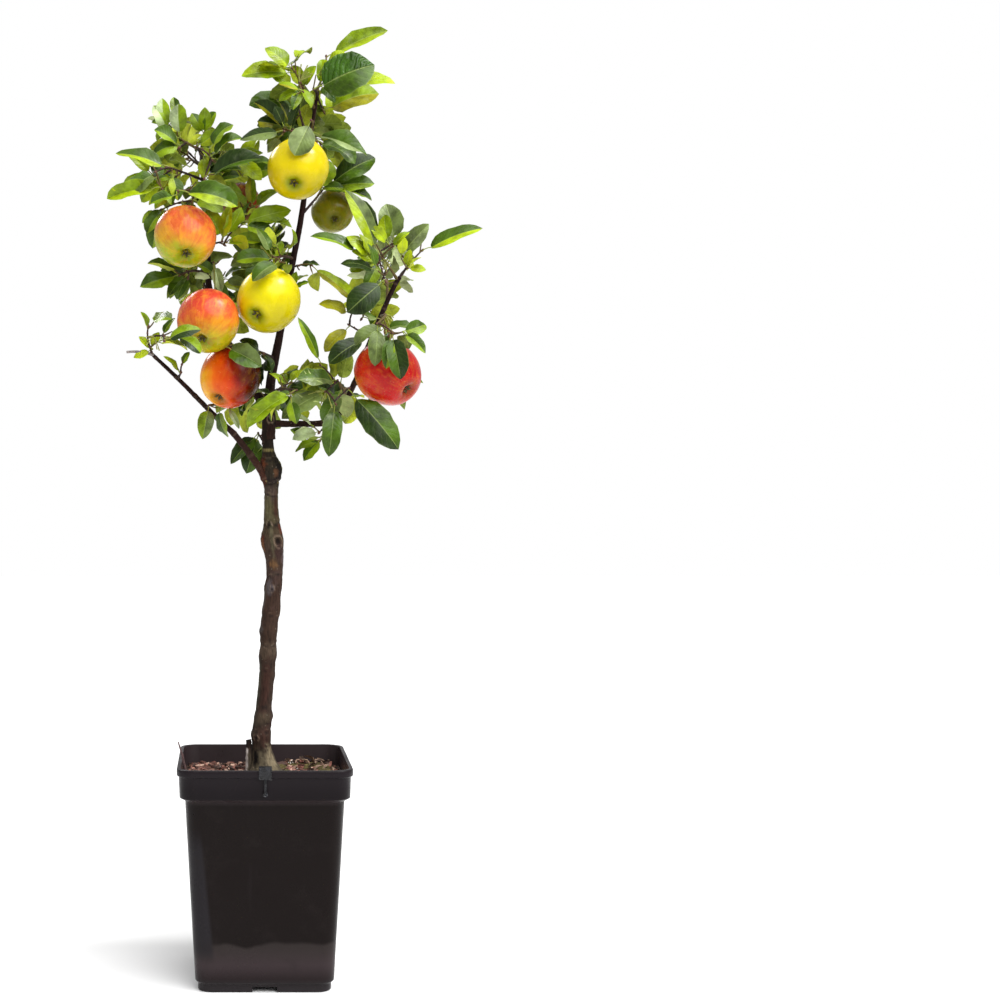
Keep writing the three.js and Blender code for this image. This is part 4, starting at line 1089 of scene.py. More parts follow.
class Balls:
    """Round bits of what has grown, each with its owner, to keep new growth clear of."""

    def __init__(self):
        self.at, self.radius, self.owner, self.table = [], [], [], None

    def add(self, at, radius, owner=None):
        self.at.append(at[:])
        self.radius.append(radius)
        self.owner.append(owner)
        self.table = None

    def touches(self, points, room, without=None, only=None):
        if not self.at:
            return False
        if self.table is None:
            self.table = np.array(self.at), np.array(self.radius), np.array(self.owner, object)
        at, radius, owner = self.table
        chosen = np.ones(len(at), bool)
        if without is not None:
            chosen = owner != without
        if only is not None:
            chosen = owner == only
        away = np.linalg.norm(points[:, None, :] - at[None, chosen, :], axis=2)
        return bool((away < radius[chosen] + room).any())


limb_balls, fruit_balls, twig_balls, leaf_balls = Balls(), Balls(), Balls(), Balls()
for middle in stations(trunk_curve, 160):
    limb_balls.add(middle, trunk_radius(middle.z, 0))
for name, curve in bough_curves.items():
    for i, middle in enumerate(stations(curve, 60)):
        limb_balls.add(middle, bough_radius(name, i / 60))
for one in masses.values():
    if one["fruit"]:
        fruit_balls.add(one["fruit"]["at"], one["fruit"]["radius"])


class Bow:
    """A twig bowed off the straight line between its ends."""

    def __init__(self, start, bend, end, radii=None):
        self.start, self.bend, self.end, self.radii = start, bend, end, radii

    def at(self, t):
        return self.start * (1 - t) ** 2 + self.bend * (2 * t * (1 - t)) + self.end * t ** 2

    def radius(self, t):
        return self.radii[0] + (self.radii[1] - self.radii[0]) * t

    def reach(self):
        return (self.end - self.start).length


def limb_at(limb, height):
    curve = trunk_curve if limb == leader else bough_curves[limb]
    low, high = 0.0, 1.0
    for _ in range(30):
        middle = (low + high) / 2
        if curve.at(middle).z < height:
            low = middle
        else:
            high = middle
    return curve.at(low)


def nearest(spots, point):
    """The spot nearest to a point, and of equals the last."""
    return min(reversed(spots), key=lambda spot: (spot[0] - point).length, default=None)


def grow_wood(one):
    draw = seeded(one["seed"])
    foot = limb_at(one["limb"], one["foot"])
    twigs, spots = [], []
    for row in one["sprays"]:
        end = Vector(row["at"])
        start, radius = nearest(spots, end) or (foot, growth["stem"])
        bow = growth["bow"] * (end - start).length
        bend = start.lerp(end, 0.5)
        bend.x += (draw() - 0.5) * 2 * bow
        bend.y += (draw() - 0.5) * 2 * bow
        bend.z += (0.3 + 0.7 * draw()) * bow
        twig = Bow(start, bend, end, (radius, growth["tip"]))
        twigs.append(twig)
        for i in range(1, growth["spots"] + 1):
            spot, size = twig.at(i / growth["spots"]), twig.radius(i / growth["spots"])
            if not limb_balls.touches(np.array([spot[:]]), size + growth["gap"]):
                spots.append((spot, size))
    return twigs, spots


def blade_frame(start, angle, depth, roll, face, length, width):
    """Where a leaf starts, its way out, its side and its upper face."""
    out = Vector((math.cos(depth) * math.cos(angle), math.sin(depth), math.cos(depth) * math.sin(angle)))
    up = Quaternion(out, roll) @ (face - out * face.dot(out)).normalized()
    side = out.cross(up)
    bend = Quaternion(side, growth["droop"] / 2)
    return {"start": start, "foot": start + out * length * growth["stalk"], "out": bend @ out, "up": bend @ up,
            "side": side, "length": length * (1 - growth["stalk"]), "width": length * width}


def blade_point(blade, t, u, above=0.0, half=None, droop=growth["droop"]):
    bend = droop * t
    forward = blade["length"] * math.sin(bend) / droop
    down = blade["length"] * (1 - math.cos(bend)) / droop
    if half is None:
        half = blade["width"] * math.sin(math.pi * t ** 0.85) ** 0.75 / 2
    return (blade["foot"] + blade["out"] * (forward + above * math.sin(bend))
            + blade["up"] * (above * math.cos(bend) - down) + blade["side"] * (u * half))


def space_of(name, margin):
    """The box a mass keeps to, with a margin round it."""
    low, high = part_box(name)
    return np.array(low[:]) / MM - margin, np.array(high[:]) / MM + margin


def is_inside(points, space):
    return bool(((points > space[0]) & (points < space[1])).all())


def is_clear(points, name):
    return not (
        limb_balls.touches(points, growth["limb_room"])
        or fruit_balls.touches(points, growth["fruit_room"])
        or twig_balls.touches(points, growth["twig_room"], without=name)
        or leaf_balls.touches(points, growth["leaf_room"], without=name)
        or leaf_balls.touches(points, growth["crowding"], only=name)
    )


def grow_leaf(name, start, angle, outward, is_behind, length, breadth, seed, space=None, rolled=1.0):
    """A leaf in its place in the fan, after a few tries to find it a clear space."""
    draw = seeded(seed)
    for attempt in range(growth["tries"]):
        loose = (0.5 if space is not None or rolled == 1 else 0.15) + 0.5 * attempt
        swing = angle + (draw() - 0.5) * play["swing"] * loose
        spread = back_play["depth"] if outward > 0 else play["depth"]
        depth = outward * play["lean"] + (draw() - 0.5) * spread * loose
        if is_behind:
            depth = -outward * (play["behind"] + play["behind_more"] * draw())
        roll = (draw() - 0.5) * play["roll"] * loose * rolled
        size = length * (0.92 + 0.16 * draw()) * (growth["behind_size"] if is_behind else 1)
        ahead = upper_face["behind"] if is_behind else upper_face["ahead"]
        face = Vector((0, ahead * outward, upper_face["up"] if rolled > 0.3 else 0.1))
        if outward > 0:
            face.x = math.copysign(back_play["sideways"] + back_play["more_sideways"] * draw(), start.x - 30)
        made = blade_frame(start, math.radians(swing), math.radians(depth), math.radians(roll), face, size,
                           breadth * growth["width"])
        points = np.array([blade_point(made, t, u)[:] for t, u in blade_spots])
        if (space is None or is_inside(points, space)) and is_clear(points, name):
            for point in points:
                leaf_balls.add(point, 0.0, name)
            return dict(made, mass=name, seed=seed, rolled=rolled, behind=is_behind)
    return None


def side_of(row):
    return 1 if row["at"][1] > growth["back_of_crown"] else -1


def is_at_back(name):
    return name.startswith("back")


wood = {name: grow_wood(one) for name, one in masses.items()}
for name, (_, spots) in wood.items():
    for spot, size in spots:
        twig_balls.add(spot, size, name)

leaves = []
for name, one in masses.items():
    space = space_of(name, growth["leaf_margin"]) if is_at_back(name) else None
    for which, (twig, row) in enumerate(zip(wood[name][0], one["sprays"])):
        behind = math.floor(row["count"] * growth["behind"])
        for i in range(row["count"] + behind):
            is_behind = i >= row["count"]
            share = (i - row["count"] + 0.5) / behind if is_behind else i / max(row["count"] - 1, 1)
            back = min(growth["spacing"] * i + 1, twig.reach() * 0.5) / twig.reach()
            angle = row["from"] + (row["to"] - row["from"]) * share
            made = grow_leaf(name, twig.at(1 - back), angle, side_of(row), is_behind, row["length"],
                             row["breadth"], one["seed"] * 1000 + which * 50 + i, space, row["rolled"])
            if made:
                leaves.append(dict(made, tint=row["tint"], true=row["count"] == 1 and not is_behind))

# twigs that carry one leaf and no shoots, as rows of their mass
bare_twigs = {"upper_yellow_apple": (0,), "top_right_foliage": (1,), "right_top_foliage": (0, 2),
              "lower_right_foliage": (1, 2, 3, 4), "right_inner_foliage": (1,)}
# how far apart shoots stand, at the back or in front, on the right bough or elsewhere, and how many there are at most
shoot_gap = {(True, True): 13, (True, False): 7, (False, True): 40, (False, False): 18}
most_shoots = {True: 13, False: 4}
# their size, how they spread and sag, and the leaves they carry
habit = {"room": 2.5, "shortest": 5, "longer": 11, "spread": 230, "sag": 1.5, "leaves": 2.3, "apart": 0.15,
         "fan": 55, "swing": 40, "behind": 0.6, "leaf": 25, "longer_leaf": 18, "breadth": 1.05}

# finer side shoots along each twig, whose small leaves stay inside their own mass
shoots = {name: [] for name in masses}
for name, one in masses.items():
    space, at_back = space_of(name, growth["shoot_margin"]), is_at_back(name)
    for which, (twig, row) in enumerate(zip(wood[name][0], one["sprays"])):
        if which in bare_twigs.get(name, ()):
            continue
        draw = seeded(one["seed"] * 131 + which)
        count = held(round(twig.reach() / shoot_gap[at_back, one["limb"] == right]), 1, most_shoots[at_back])
        count = 1 if one["limb"] == low_left else count
        for i in range(count):
            root = twig.at(1 - 0.8 * (i + 0.3 * draw()) / count)
            turn = math.radians((row["from"] + row["to"]) / 2 + (draw() - 0.5) * habit["spread"])
            way = Vector((math.cos(turn), side_of(row) * (draw() - 0.3), math.sin(turn) + 0.25)).normalized()
            end = root + way * (habit["shortest"] + habit["longer"] * draw())
            spot = np.array([end[:]])
            if (limb_balls.touches(spot, habit["room"]) or fruit_balls.touches(spot, habit["room"])
                    or not is_inside(spot, space)):
                continue
            shoot = Bow(root, root.lerp(end, 0.5) + Vector((0, 0, -habit["sag"])), end)
            shoots[name].append(shoot)
            for j in range(1 + int(draw() * habit["leaves"])):
                angle = math.degrees(turn) + (j - 1) * habit["fan"] + (draw() - 0.5) * habit["swing"]
                made = grow_leaf(name, shoot.at(1 - habit["apart"] * j), angle, side_of(row), draw() > habit["behind"],
                                 habit["leaf"] + habit["longer_leaf"] * draw(), habit["breadth"],
                                 one["seed"] * 1000 + 500 + which * 24 + i * 4 + j, space)
                if made:
                    leaves.append(dict(made, tint=row["tint"], true=False))

# ---- Twigs and spurs -----------------------------------------------------------------
# Short fruiting wood: knuckled spurs ringed by old leaf scars, with plump buds and the dry
# stalks that blossom has left.

group_of = {leader: "leader", upright: "left_upright", low_left: "left_lower", right: "right"}
# how much a knuckle swells, how far apart they are and how many there can be, and the twigs that bear side buds
knuckle, knuckle_gap, fewest_knuckles, most_knuckles, side_buds_from = 0.35, 5, 4, 14, 18
bud_tint = colour("5a3a2e")
twig_tints = [colour(chip) for chip in ("2b1814", "3a2419", "57481f", "251312")]
# the thin stalks that blossom has left, in tufts: where they point, how many
tufts = {"lower_right_foliage": ((58, -20, 636), 8), "right_top_foliage": ((136, -14, 798), 10),
         "top_left_foliage": ((42, -26, 1006), 8), "centre_left_spur": ((4, -24, 812), 6),
         "left_crown_inner": ((-40, -20, 926), 7), "crimson_apple": ((142, -20, 726), 5),
         "left_tip_foliage": ((-122, -58, 712), 5)}
# the pruned end of the low left bough
cut_end = Bow(Vector((-122, -48, 696)), Vector((-137, -49, 701)), Vector((-152, -50, 699)))


def wand(curve, radii, sides):
    """A thin stalk, as points and faces, with its radii spaced evenly along a curve."""
    return tube(stations(curve, len(radii) - 1), radii, sides)


def bud(at, way, size):
    """A plump pointed bud."""
    path = [at + way * size * k for k in (-0.3, 0.2, 0.7, 1.15, 1.6)]
    return tube(path, [size * k for k in (0.35, 0.52, 0.56, 0.36, 0.05)], 6)


twig_finish, place = new_finish("twig_bark", 0.72, 0.35)
fibres = grain(place, 600.0, 4.0)
barked = blend(1.0, read(place, "tint"), ramp(fibres, (0.3, 0.6), (0.7, 1.35)), "MULTIPLY")
feed("Base Color", blend(times(mottled(place, 120.0, 0.42), 0.25), barked, "8b7c6c"))
relief(fibres, 0.0006)

for limb, group in group_of.items():
    heap = Heap()
    names = [name for name, one in masses.items() if one["limb"] == limb]
    for name in names:
        one = masses[name]
        draw = seeded(one["seed"] * 17 + 5)
        twigs, spots = wood[name]
        for twig in twigs:
            tint = twig_tints[int(draw() * 4)]
            steps = held(round(twig.reach() / knuckle_gap), fewest_knuckles, most_knuckles)
            radii = []
            for i in range(steps + 1):
                swell = 1 + knuckle * (i % 2) * (0.4 + 0.6 * draw()) if 0 < i < steps else 1
                radii.append(twig.radius(i / steps) * (0.68 - 0.2 * i / steps) * swell)
            heap.add(*wand(twig, radii, 7), 0, tint)
            way = (twig.at(1) - twig.at(0.9)).normalized()
            heap.add(*bud(twig.end, way, 2.0 + draw()), 0, bud_tint)
            for t in (0.35, 0.65) if twig.reach() > side_buds_from else ():
                side = Vector((draw() - 0.5, draw() - 0.5, 0.6)).normalized()
                side_bud = bud(twig.at(t), (side + way * 0.6).normalized(), 1.5 + 0.6 * draw())
                heap.add(*side_bud, 0, bud_tint)
        if name == "left_tip_foliage":
            heap.add(*wand(cut_end, [2.0, 1.7, 1.5, 1.6, 1.4, 1.5], 7), 0, colour("857c78"))
        for shoot in shoots[name]:
            heap.add(*wand(shoot, [0.95, 0.8, 0.85, 0.6], 5), 0, twig_tints[2])
        towards, count = tufts.get(name, ((0, 0, 0), 0))
        towards = Vector(towards)
        for _ in range(count):
            start = nearest(spots, towards)[0]
            spread = Vector((draw() - 0.5, draw() - 0.7, draw() - 0.4))
            end = start + ((towards - start).normalized() + spread * 1.3).normalized() * (13 + 9 * draw())
            stalk = Bow(start, start.lerp(end, 0.5) + Vector((0, 0, 2)), end)
            heap.add(*wand(stalk, [0.6, 0.45, 0.45, 0.75], 4), 0, colour("9ca052"))
        if one["fruit"]:
            middle, inward = one["fruit"]["at"], -one["fruit"]["eye"] * one["fruit"]["radius"]
            above = middle + inward * 1.25
            stalk = Bow(nearest(spots, above)[0], above, middle + inward * 0.68)
            radii = [1.52, 1.2, 1.04, 0.96, 0.92, 0.92, 0.92, 0.92, 0.96, 1.0, 1.04]
            heap.add(*wand(stalk, radii, 7), 0, colour("66682c"))
    twigs_piece = heap.piece(group + "_twigs", [twig_finish], 70)
    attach(twigs_piece, "root")
    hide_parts(*names)

# ---- Leaves --------------------------------------------------------------------------
# Oval pointed leaves, folded a little along the midrib and drooping at the tip: glossy and dark above, paler and downy
# beneath, the young ones fresh yellow-green, a tint that also stands for the glow of leaves lit from behind, as
# painted light.

# plain colours of the upper and the lower face, then the tint of a leaf near by and of one in shade
leaf_tints = {
    "deep": ("1f3204", "5e6c26", "dark", "deep"), "dark": ("3c5606", "78882e", "mid", "deep"),
    "slate": ("5c6c34", "8e9a60", "dark", "dark"), "mid": ("728a04", "9ea82a", "dark", "dark"),
    "fresh": ("90a406", "a6b212", "mid", "mid"), "lime": ("a4b410", "b6c026", "fresh", "fresh"),
    "grey": ("7c8c56", "a4ae7e", "slate", "slate"), "olive": ("868408", "a49e2c", "mid", "mid"),
    "pale": ("a0b080", "b2bc90", "grey", "grey"), "quilted": ("325408", "6a782a", "dark", "quilted"),
}
# how far along a blade each row stands, and its half width there
long_rows = [(0.03, 0.3), (0.1, 0.6), (0.2, 0.83), (0.32, 0.96), (0.45, 1.0), (0.58, 0.98), (0.7, 0.88), (0.81, 0.7),
             (0.9, 0.45), (0.96, 0.2)]
short_rows = [(0.05, 0.4), (0.17, 0.76), (0.33, 0.97), (0.5, 1.0), (0.67, 0.88), (0.82, 0.62), (0.93, 0.28)]
long_from, slim, rib_deep = 30, 0.9, 0.4
# how often a leaf keeps its spray's tint, one that hangs behind gets the tint of one in shade as painted shade, and
# the higher half gets a darker tint as painted shade
keeps_tint, in_shade, shaded_half_share = 0.7, 0.7, 0.6


def leaf_mesh(made, draw):
    """Points, upper and lower faces and map of one closed blade, folded and wavy."""
    fold = math.radians(14 + 32 * draw()) * (0.5 if made["rolled"] < 0.3 else 1.0)
    curl = 0.12 + 0.3 * draw()
    wave, phase, waves = 0.05 + 0.17 * draw(), draw() * 6.28, 7 + 6 * draw()
    twist = (draw() - 0.5) * 0.8
    droop = growth["droop"] + 0.85 * draw() - 0.15
    lift = Quaternion(made["side"], (droop - growth["droop"]) / 2)
    mine = dict(made, out=lift @ made["out"], up=lift @ made["up"])
    rows = long_rows if made["length"] > long_from else short_rows
    points, uv = [], []
    broadest = 0.85 + 0.35 * draw()
    for row, (t, share) in enumerate(rows):
        t = t ** broadest
        half = slim * made["width"] * share / 2 * (1 + (draw() - 0.5) * 0.05 + 0.025 * (-1) ** row)
        lean = twist * t
        for u in (-1, -0.5, 0, 0.5, 1):
            rise = abs(u) * math.sin(fold) - curl * u * u + wave * u * u * math.sin(phase + t * waves + u)
            rise = half * (rise + u * math.sin(lean))
            points.append(blade_point(mine, t, u * math.cos(lean) * math.cos(fold), rise, half, droop)[:])
            uv.append((u * 0.5 + 0.5, t))
        points.append(blade_point(mine, t, 0, -rib_deep - 0.5 * (1 - t), half, droop)[:])
        uv.append((0.5, t))
    points += [mine["foot"][:], blade_point(mine, 1.0, 0, 0.0, 0.0, droop)[:]]
    uv += [(0.5, 0.0), (0.5, 1.0)]
    first, last, end = len(points) - 2, len(points) - 1, len(points) - 8
    upper, lower = [], []
    for a in range(0, end, 6):
        b = a + 6
        upper += [(a + i, a + i + 1, b + i + 1, b + i) for i in range(4)]
        lower += [(a, b, b + 5, a + 5), (a + 5, b + 5, b + 4, a + 4)]
    upper += [(first, i + 1, i) for i in range(4)] + [(end + i, end + i + 1, last) for i in range(4)]
    lower += [(first, 0, 5), (first, 5, 4), (end + 5, end, last), (end + 4, end + 5, last)]
    return points, upper, lower, uv


def mixed(first, second, share):
    """Two colours mixed."""
    return [a * (1 - share) + b * share for a, b in zip(colour(first)[:3], colour(second)[:3])]


def paint_leaf(name, chip, gloss, specular, veining, painted_leaf_sheen):
    """Leaf skin: its plain tint, a paler midrib, a pale margin as a painted edge highlight, faint veins, pale blotches
    of painted sheen and a gloss that varies.
    """
    made, place = new_finish(name, gloss, specular)
    across, along, _ = split(put("UVMap", tree=place.id_data, uv_map="blade"))
    aside = reckon("ABSOLUTE", reckon("SUBTRACT", across, 0.5))
    # veins slant forward from the midrib and wander a little
    slanted = reckon("MULTIPLY_ADD", grain(place, 90.0), 0.16, reckon("MULTIPLY_ADD", aside, -0.5, along))
    off = reckon("ABSOLUTE", reckon("SUBTRACT", reckon("FRACT", times(slanted, 8.0)), 0.5))
    veins = mask(off, 0.42, 0.5, "SMOOTHSTEP", 0.16)
    midrib = mask(aside, 0.03, 0.008, "SMOOTHSTEP")
    # the veins, the midrib, and the pale margin, which is a painted edge highlight
    lines = reckon("MAXIMUM", reckon("MAXIMUM", veins, midrib), mask(aside, 0.46, 0.5, most=0.6))
    light = [min(1.0, c * 1.45 + 0.004) for c in colour(chip)[:3]]
    ground = ramp(grain(place, 55.0, 5.0, 0.6), (0.34, mixed(chip, 0.0, 0.5)), (0.5, chip), (0.66, light))
    # pale blotches of painted sheen
    ground = blend(times(mottled(place, 42.0, 0.43), painted_leaf_sheen), ground, mixed(chip, "c3cda6", 0.5))
    feed("Base Color", blend(times(lines, 0.6), ground, mixed(chip, "a9bb6a", 0.55)))
    pillow = mask(off, 0.5, 0.1, "SMOOTHERSTEP")
    relief(reckon("SUBTRACT", reckon("MULTIPLY_ADD", grain(place, 300.0, 3.0), 0.5, pillow), midrib), veining, 0.8)
    feed("Roughness", ramp(grain(place, 140.0), (0.35, gloss - 0.06), (0.65, gloss + 0.12)))
    return made


def paint_plain(name, roughness, specular, scale, detail, *stops):
    """A finish with one grain of colour and no more."""
    made, place = new_finish(name, roughness, specular)
    feed("Base Color", ramp(grain(place, scale, detail), *stops))
    return made


leaf_finishes = []
for tint, (above, beneath, _, _) in leaf_tints.items():
    veining, painted_leaf_sheen = 0.0014 if tint == "quilted" else 0.00012, 0.2 if tint in ("deep", "quilted") else 0.5
    leaf_finishes.append(paint_leaf(tint + "_leaf_above", above, 0.33, 0.24, veining, painted_leaf_sheen))
    leaf_finishes.append(paint_leaf(tint + "_leaf_beneath", beneath, 0.6, 0.15, -0.0002, 0.2))
stalk_greens = (0.35, "6c7c22"), (0.55, "8c9a3c"), (0.72, "7e6a3c")
leaf_finishes.append(paint_plain("leaf_stalk", 0.5, 0.3, 60.0, 3.0, *stalk_greens))
tint_slots = {tint: 2 * i for i, tint in enumerate(leaf_tints)}


def leaf_group(made):
    return "back" if is_at_back(made["mass"]) else group_of[masses[made["mass"]]["limb"]]


for group in (*group_of.values(), "back"):
    heap = Heap()
    members = [made for made in leaves if leaf_group(made) == group]
    for made in members:
        draw = seeded(made["seed"] * 3 + 7)
        points, upper, lower, uv = leaf_mesh(made, draw)
        tint, _, high = made["tint"].partition("+")
        tint = tint if draw() < keeps_tint or made["true"] else leaf_tints[tint][2]
        if made["behind"] and draw() < in_shade:
            tint, high = leaf_tints[tint][3], ""
        # painted shading: the half that lies higher takes the tint after the +, else on most leaves the darker tint of
        # one in shade
        high = high or (leaf_tints[tint][3] if draw() < shaded_half_share else tint)
        slot, shaded = tint_slots[tint], tint_slots[high]
        halves = (slot, shaded) if made["side"].z > 0 else (shaded, slot)
        kinds = [halves[i % 4 // 2] for i in range(len(upper))] + [slot + 1] * len(lower)
        heap.add(points, upper + lower, kinds, uv=uv)
        sag = made["start"].lerp(made["foot"], 0.5) + Vector((0, 0, 0.04 * made["length"]))
        stalk = Bow(made["start"], sag, made["foot"] + made["out"] * 1.2)
        points, faces = wand(stalk, [0.9, 0.65, 0.55, 0.6], 5)
        heap.add(points, faces, len(leaf_finishes) - 1, uv=[(0.5, 0.0)] * len(points))
    leaves_piece = heap.piece(group + "_leaves", leaf_finishes, 60)
    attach(leaves_piece, "root")
    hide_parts(*sorted({made["mass"] for made in members}))

# ---- Apples --------------------------------------------------------------------------
# Ripe dessert apples on thin stalks, hollow at the stalk, with dried sepals in a shallow eye.
# Two are yellow, three blushed by the sun, one crimson, and two small and unripe.

apple_profile = Smooth([
    (0, 0.70, 0), (0.1, 0.80, 0), (0.26, 0.905, 0), (0.46, 0.925, 0), (0.78, 0.70, 0), (0.97, 0.30, 0),
    (0.99, -0.05, 0), (0.90, -0.42, 0), (0.70, -0.72, 0), (0.48, -0.88, 0), (0.3, -0.92, 0),
    (0.18, -0.88, 0), (0.1, -0.8, 0), (0, -0.76, 0),
])
# the direction in which the colours change, how strongly they are streaked, the colour round
# the eye, and the colours from -1 on the far side to 1
apple_looks = {
    "upper_yellow_apple": ((-0.7, -0.3, 0.3), 0.06, "5d7a0c", (-1, "a89c00"), (0, "ccb800"), (1, "d8c404")),
    "green_apple": ((0.2, -0.3, 0.9), 0.15, "4d5808", (-1, "868a16"), (0, "76760e"), (1, "5c5a0a")),
    "upper_blush_apple": ((0.36, -0.1, 0.93), 0.6, "5d7a0c", (-1, "7e9c06"), (-0.5, "9cac08"), (-0.2, "c89a24"),
                          (0.16, "d47034"), (1, "ca4428")),
    "centre_left_foliage": ((0.2, -0.2, 0.9), 0.5, "5b5a13", (-1, "6c5a18"), (0, "7c4018"), (1, "64280e")),
    "lower_yellow_apple": ((-0.9, -0.2, 0.3), 0.04, "5d7a0c", (-1, "b0a402"), (0.0, "cabc03"), (0.3, "dccf08"),
                           (1, "e2d60e")),
    "middle_blush_apple": ((-0.1, -0.1, 1.0), 0.5, "5d7a0c", (-1, "8e9a08"), (-0.45, "b0a00a"), (-0.14, "cc821e"),
                           (0.2, "ce562a"), (0.6, "c6422a"), (1, "b43428")),
    "lower_blush_apple": ((0.95, -0.1, 0.2), 0.1, "8a5c0c", (-1, "e8bc12"), (-0.78, "e89c12"), (-0.5, "e0640a"),
                          (-0.1, "c63a06"), (0.25, "8c1602"), (0.5, "480600"), (0.85, "260000")),
    "crimson_apple": ((0.8, -0.2, 0.3), 0.2, "7a2a0e", (-1, "d0781a"), (-0.78, "be2010"), (0.0, "b00e10"),
                      (1, "9c080c")),
}

ball = fresh(bpy.ops.mesh.primitive_uv_sphere_add, "apple_form", segments=48, ring_count=30, radius=1)
for vertex in ball.data.vertices:
    x, y, z = vertex.co
    t, turn = math.atan2(math.hypot(x, y), z) / math.pi, math.atan2(y, x)
    half, rise, _ = apple_profile.at(t)
    half *= 1 + 0.022 * math.cos(5 * turn) * t ** 2 + 0.012 * math.cos(2 * turn + 1)
    vertex.co = heading(turn) * half + Vector((0, 0, rise + 0.02 * math.cos(5 * turn) * t ** 6))
form_points, form_faces = shape_of(ball)


def sepals(draw):
    """Five dry sepals in the eye, in the fruit's own frame."""
    down = Vector((0, 0, -1))
    for k in range(5):
        turn = 2 * math.pi * k / 5 + draw() * 0.4
        way, side = heading(turn), heading(turn + math.pi / 2)
        points = []
        for t, half in ((0, 0.035), (0.5, 0.04), (1, 0.008)):
            spine = way * (0.03 + 0.12 * t) + down * (0.77 + 0.13 * math.sin(t * 1.9))
            points += [spine - side * half, spine + side * half, spine + down * 0.015]
        faces = [(0, 2, 1), (6, 7, 8)]
        for r in (0, 3):
            faces += [(r, r + 1, r + 4, r + 3), (r + 1, r + 2, r + 5, r + 4), (r + 2, r, r + 3, r + 5)]
        yield np.array([p[:] for p in points]), faces


def paint_apple_skin():
    """Waxy skin: its ground colour, streaks from stalk to eye, freckles and russet dots."""
    made, place = new_finish("apple_skin", 0.3, 0.22)
    skin, strength = read(place, "tint"), read(place, "streaky", "Fac")
    lines = grain(read(place, "streak", "Vector"), 1.5, 5.0, 0.65)
    blotch = grain(place, 75.0, 6.0, 0.7)
    for source, first, last, chip in ((blotch, 0.5, 0.64, "e8a81c"), (lines, 0.5, 0.66, "e8aa28"),
                                      (lines, 0.47, 0.34, "b0200e"), (blotch, 0.46, 0.34, "b82a0e")):
        skin = blend(times(mask(source, first, last, most=0.6), strength), skin, chip)
    dots = pores(place, 240.0, 0.14, 0.06, 0.18)
    cloud = grain(place, 60.0, 4.0)
    dotted = blend(dots, skin, "e8dc9a")
    feed("Base Color", blend(1.0, dotted, ramp(cloud, (0.3, 0.88), (0.7, 1.08)), "MULTIPLY"))
    feed("Roughness", ramp(cloud, (0.35, 0.2), (0.7, 0.34)))
    relief(reckon("SUBTRACT", cloud, dots), 0.0004)
    return made


def shade_at(stops, value):
    """The colour at a value between stops."""
    shades = [colour(chip) for _, chip in stops]
    return np.array([np.interp(value, [stop for stop, _ in stops], channel) for channel in zip(*shades)])


heap = Heap()
tints, streaks, streaky = [], [], []
for name, (across, streakiness, eye_chip, *stops) in apple_looks.items():
    hung, seed = masses[name]["fruit"], masses[name]["seed"]
    draw = seeded(seed * 29)
    turn = np.array(Vector((0, 0, -1)).rotation_difference(hung["eye"]).to_matrix())
    spun = np.array(Matrix.Rotation(draw() * 6.28, 3, "Z"))
    stretch = np.array((1.0, 0.97 + 0.05 * draw(), 0.98 + 0.05 * draw()))
    points = (form_points * stretch) @ spun.T @ turn.T
    heap.add(points * hung["radius"] + np.array(hung["at"]), form_faces, 0)
    axis = np.array(Vector(across).normalized())
    for point, own in zip(points, form_points):
        way = point / max(np.linalg.norm(point), 1e-6)
        rough = noise.fractal(Vector(own * 2.2) + Vector((seed, 0, 0)), 1.0, 2.0, 4)
        shade = shade_at(stops, float(way @ axis) + 0.22 * rough)
        x, y, z = own
        out = math.hypot(x, y)
        near_eye = held((-z - 0.74) / 0.14) * held((0.42 - out) / 0.25)
        near_stalk = held((0.3 - out) / 0.2) * (z > 0)
        shade = shade + (np.array(colour(eye_chip)) - shade) * (0.85 * near_eye + 0.5 * near_stalk * (1 - near_eye))
        tints.append(shade)
        angle = math.atan2(y, x)
        streaks.append((math.cos(angle) * 5, math.sin(angle) * 5, z * 1.5 + seed))
        streaky.append(streakiness)
    for shape, faces in sepals(draw):
        heap.add(shape @ spun.T @ turn.T * hung["radius"] + np.array(hung["at"]), faces, 1)
        tints += [colour("4a4630")] * len(shape)
        streaks += [(0, 0, 0)] * len(shape)
        streaky += [0.0] * len(shape)
dry_sepal = paint_plain("dry_sepal", 0.9, 0.2, 900.0, 2.0, (0.3, "2e2a1a"), (0.7, "6a6444"))
apples = heap.piece("apples", [paint_apple_skin(), dry_sepal], 50)
carry(apples, "tint", "FLOAT_COLOR", tints)
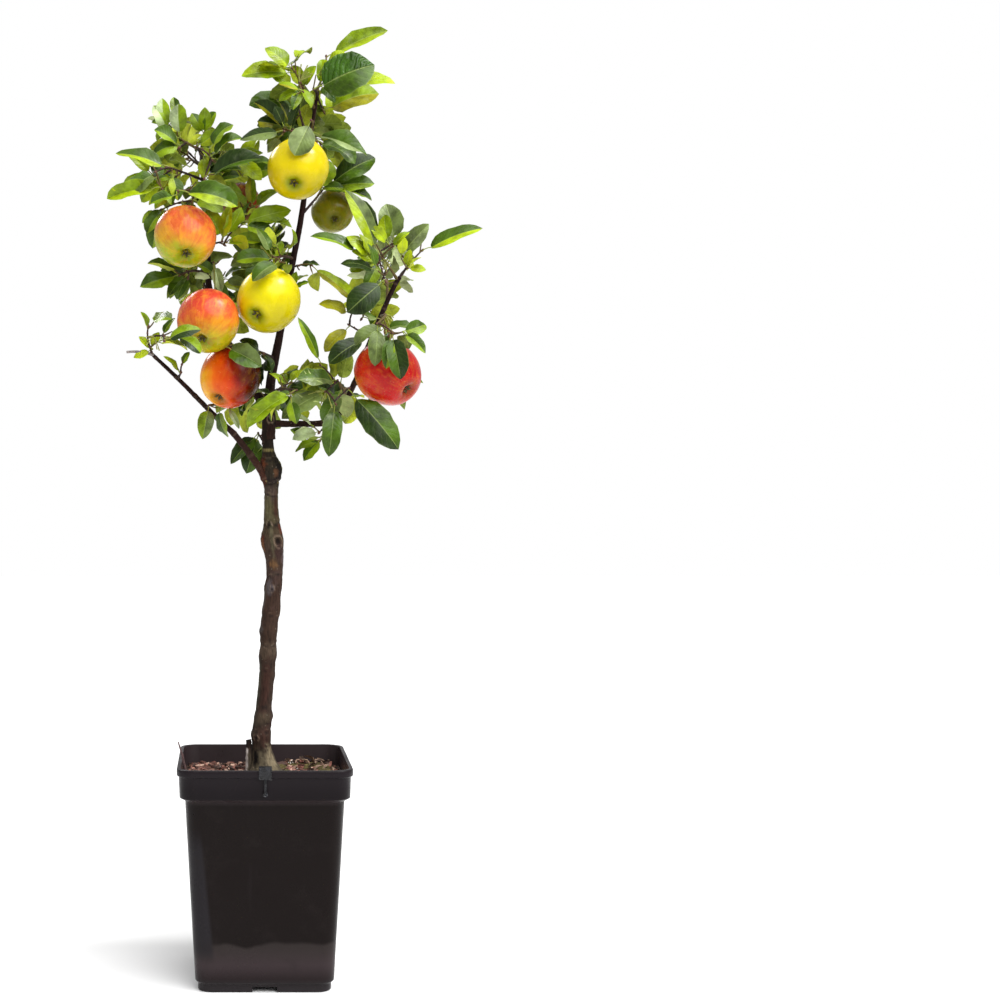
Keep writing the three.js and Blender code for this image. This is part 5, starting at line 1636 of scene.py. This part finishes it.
carry(apples, "streak", "FLOAT_VECTOR", streaks)
carry(apples, "streaky", "FLOAT", streaky)
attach(apples, "root")
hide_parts(*apple_looks)

# ---- Studio --------------------------------------------------------------------------
# A pale floor that runs off into a white surround, darker overhead, with soft daylight from
# the front right, a soft box above and a lamp behind that catches the leaf edges.

floor = fresh(bpy.ops.mesh.primitive_plane_add, "studio_floor", size=12, location=(0, 2.5, 0))
floor.data.materials.append(paint_plain("pale_floor", 0.9, 0.1, 3.0, 2.0, (0.3, 0.86), (0.7, 0.89)))

surround = bpy.data.worlds.new("white_surround")
surround.use_nodes = True
around = surround.node_tree
height = split(put("TexCoord", output="Generated", tree=around))[2]
level = ramp(height, (0.0, 0.52), (0.3, 0.52), (1.0, 0.58))
seen = put("LightPath", output="Is Camera Ray", tree=around)
around.links.new(blend(seen, level, 1.0), around.nodes["Background"].inputs[0])
bpy.context.scene.world = surround


def stand(name, what, at=(0, 0, 0), way=None):
    """A lamp or a camera set up in the studio, turned one way."""
    made = bpy.data.objects.new(name, what)
    made.location = at
    if way:
        made.rotation_euler = way.to_track_quat("-Z", "Y").to_euler()
    bpy.context.scene.collection.objects.link(made)
    return made


daylight = bpy.data.lights.new("daylight", "SUN")
daylight.energy, daylight.angle = 3.9, 1.1
stand("daylight", daylight, way=Vector((-0.5, 0.62, -0.9)))
for name, at, towards, size, power in (
    ("rim_light", (-0.9, 1.6, 1.9), (0, 0, 0.8), 0.8, 16),
    ("soft_box", (1.1, -0.3, 2.3), (0, 0, 0.85), 0.5, 16),
):
    lamp = bpy.data.lights.new(name, "AREA")
    lamp.shape, lamp.size, lamp.energy = "DISK", size, power
    stand(name, lamp, at, Vector(towards) - Vector(at))

lens = bpy.data.cameras.new("camera")
lens.lens, lens.sensor_width = 60.6, 36
lens.shift_x, lens.shift_y = 0.274, -0.012
camera = stand("camera", lens, (-0.0423, -1.905, 0.5492))
camera.rotation_euler = (math.pi / 2, 0, 0)
bpy.context.scene.camera = camera
bpy.context.scene.view_settings.view_transform = "Standard"
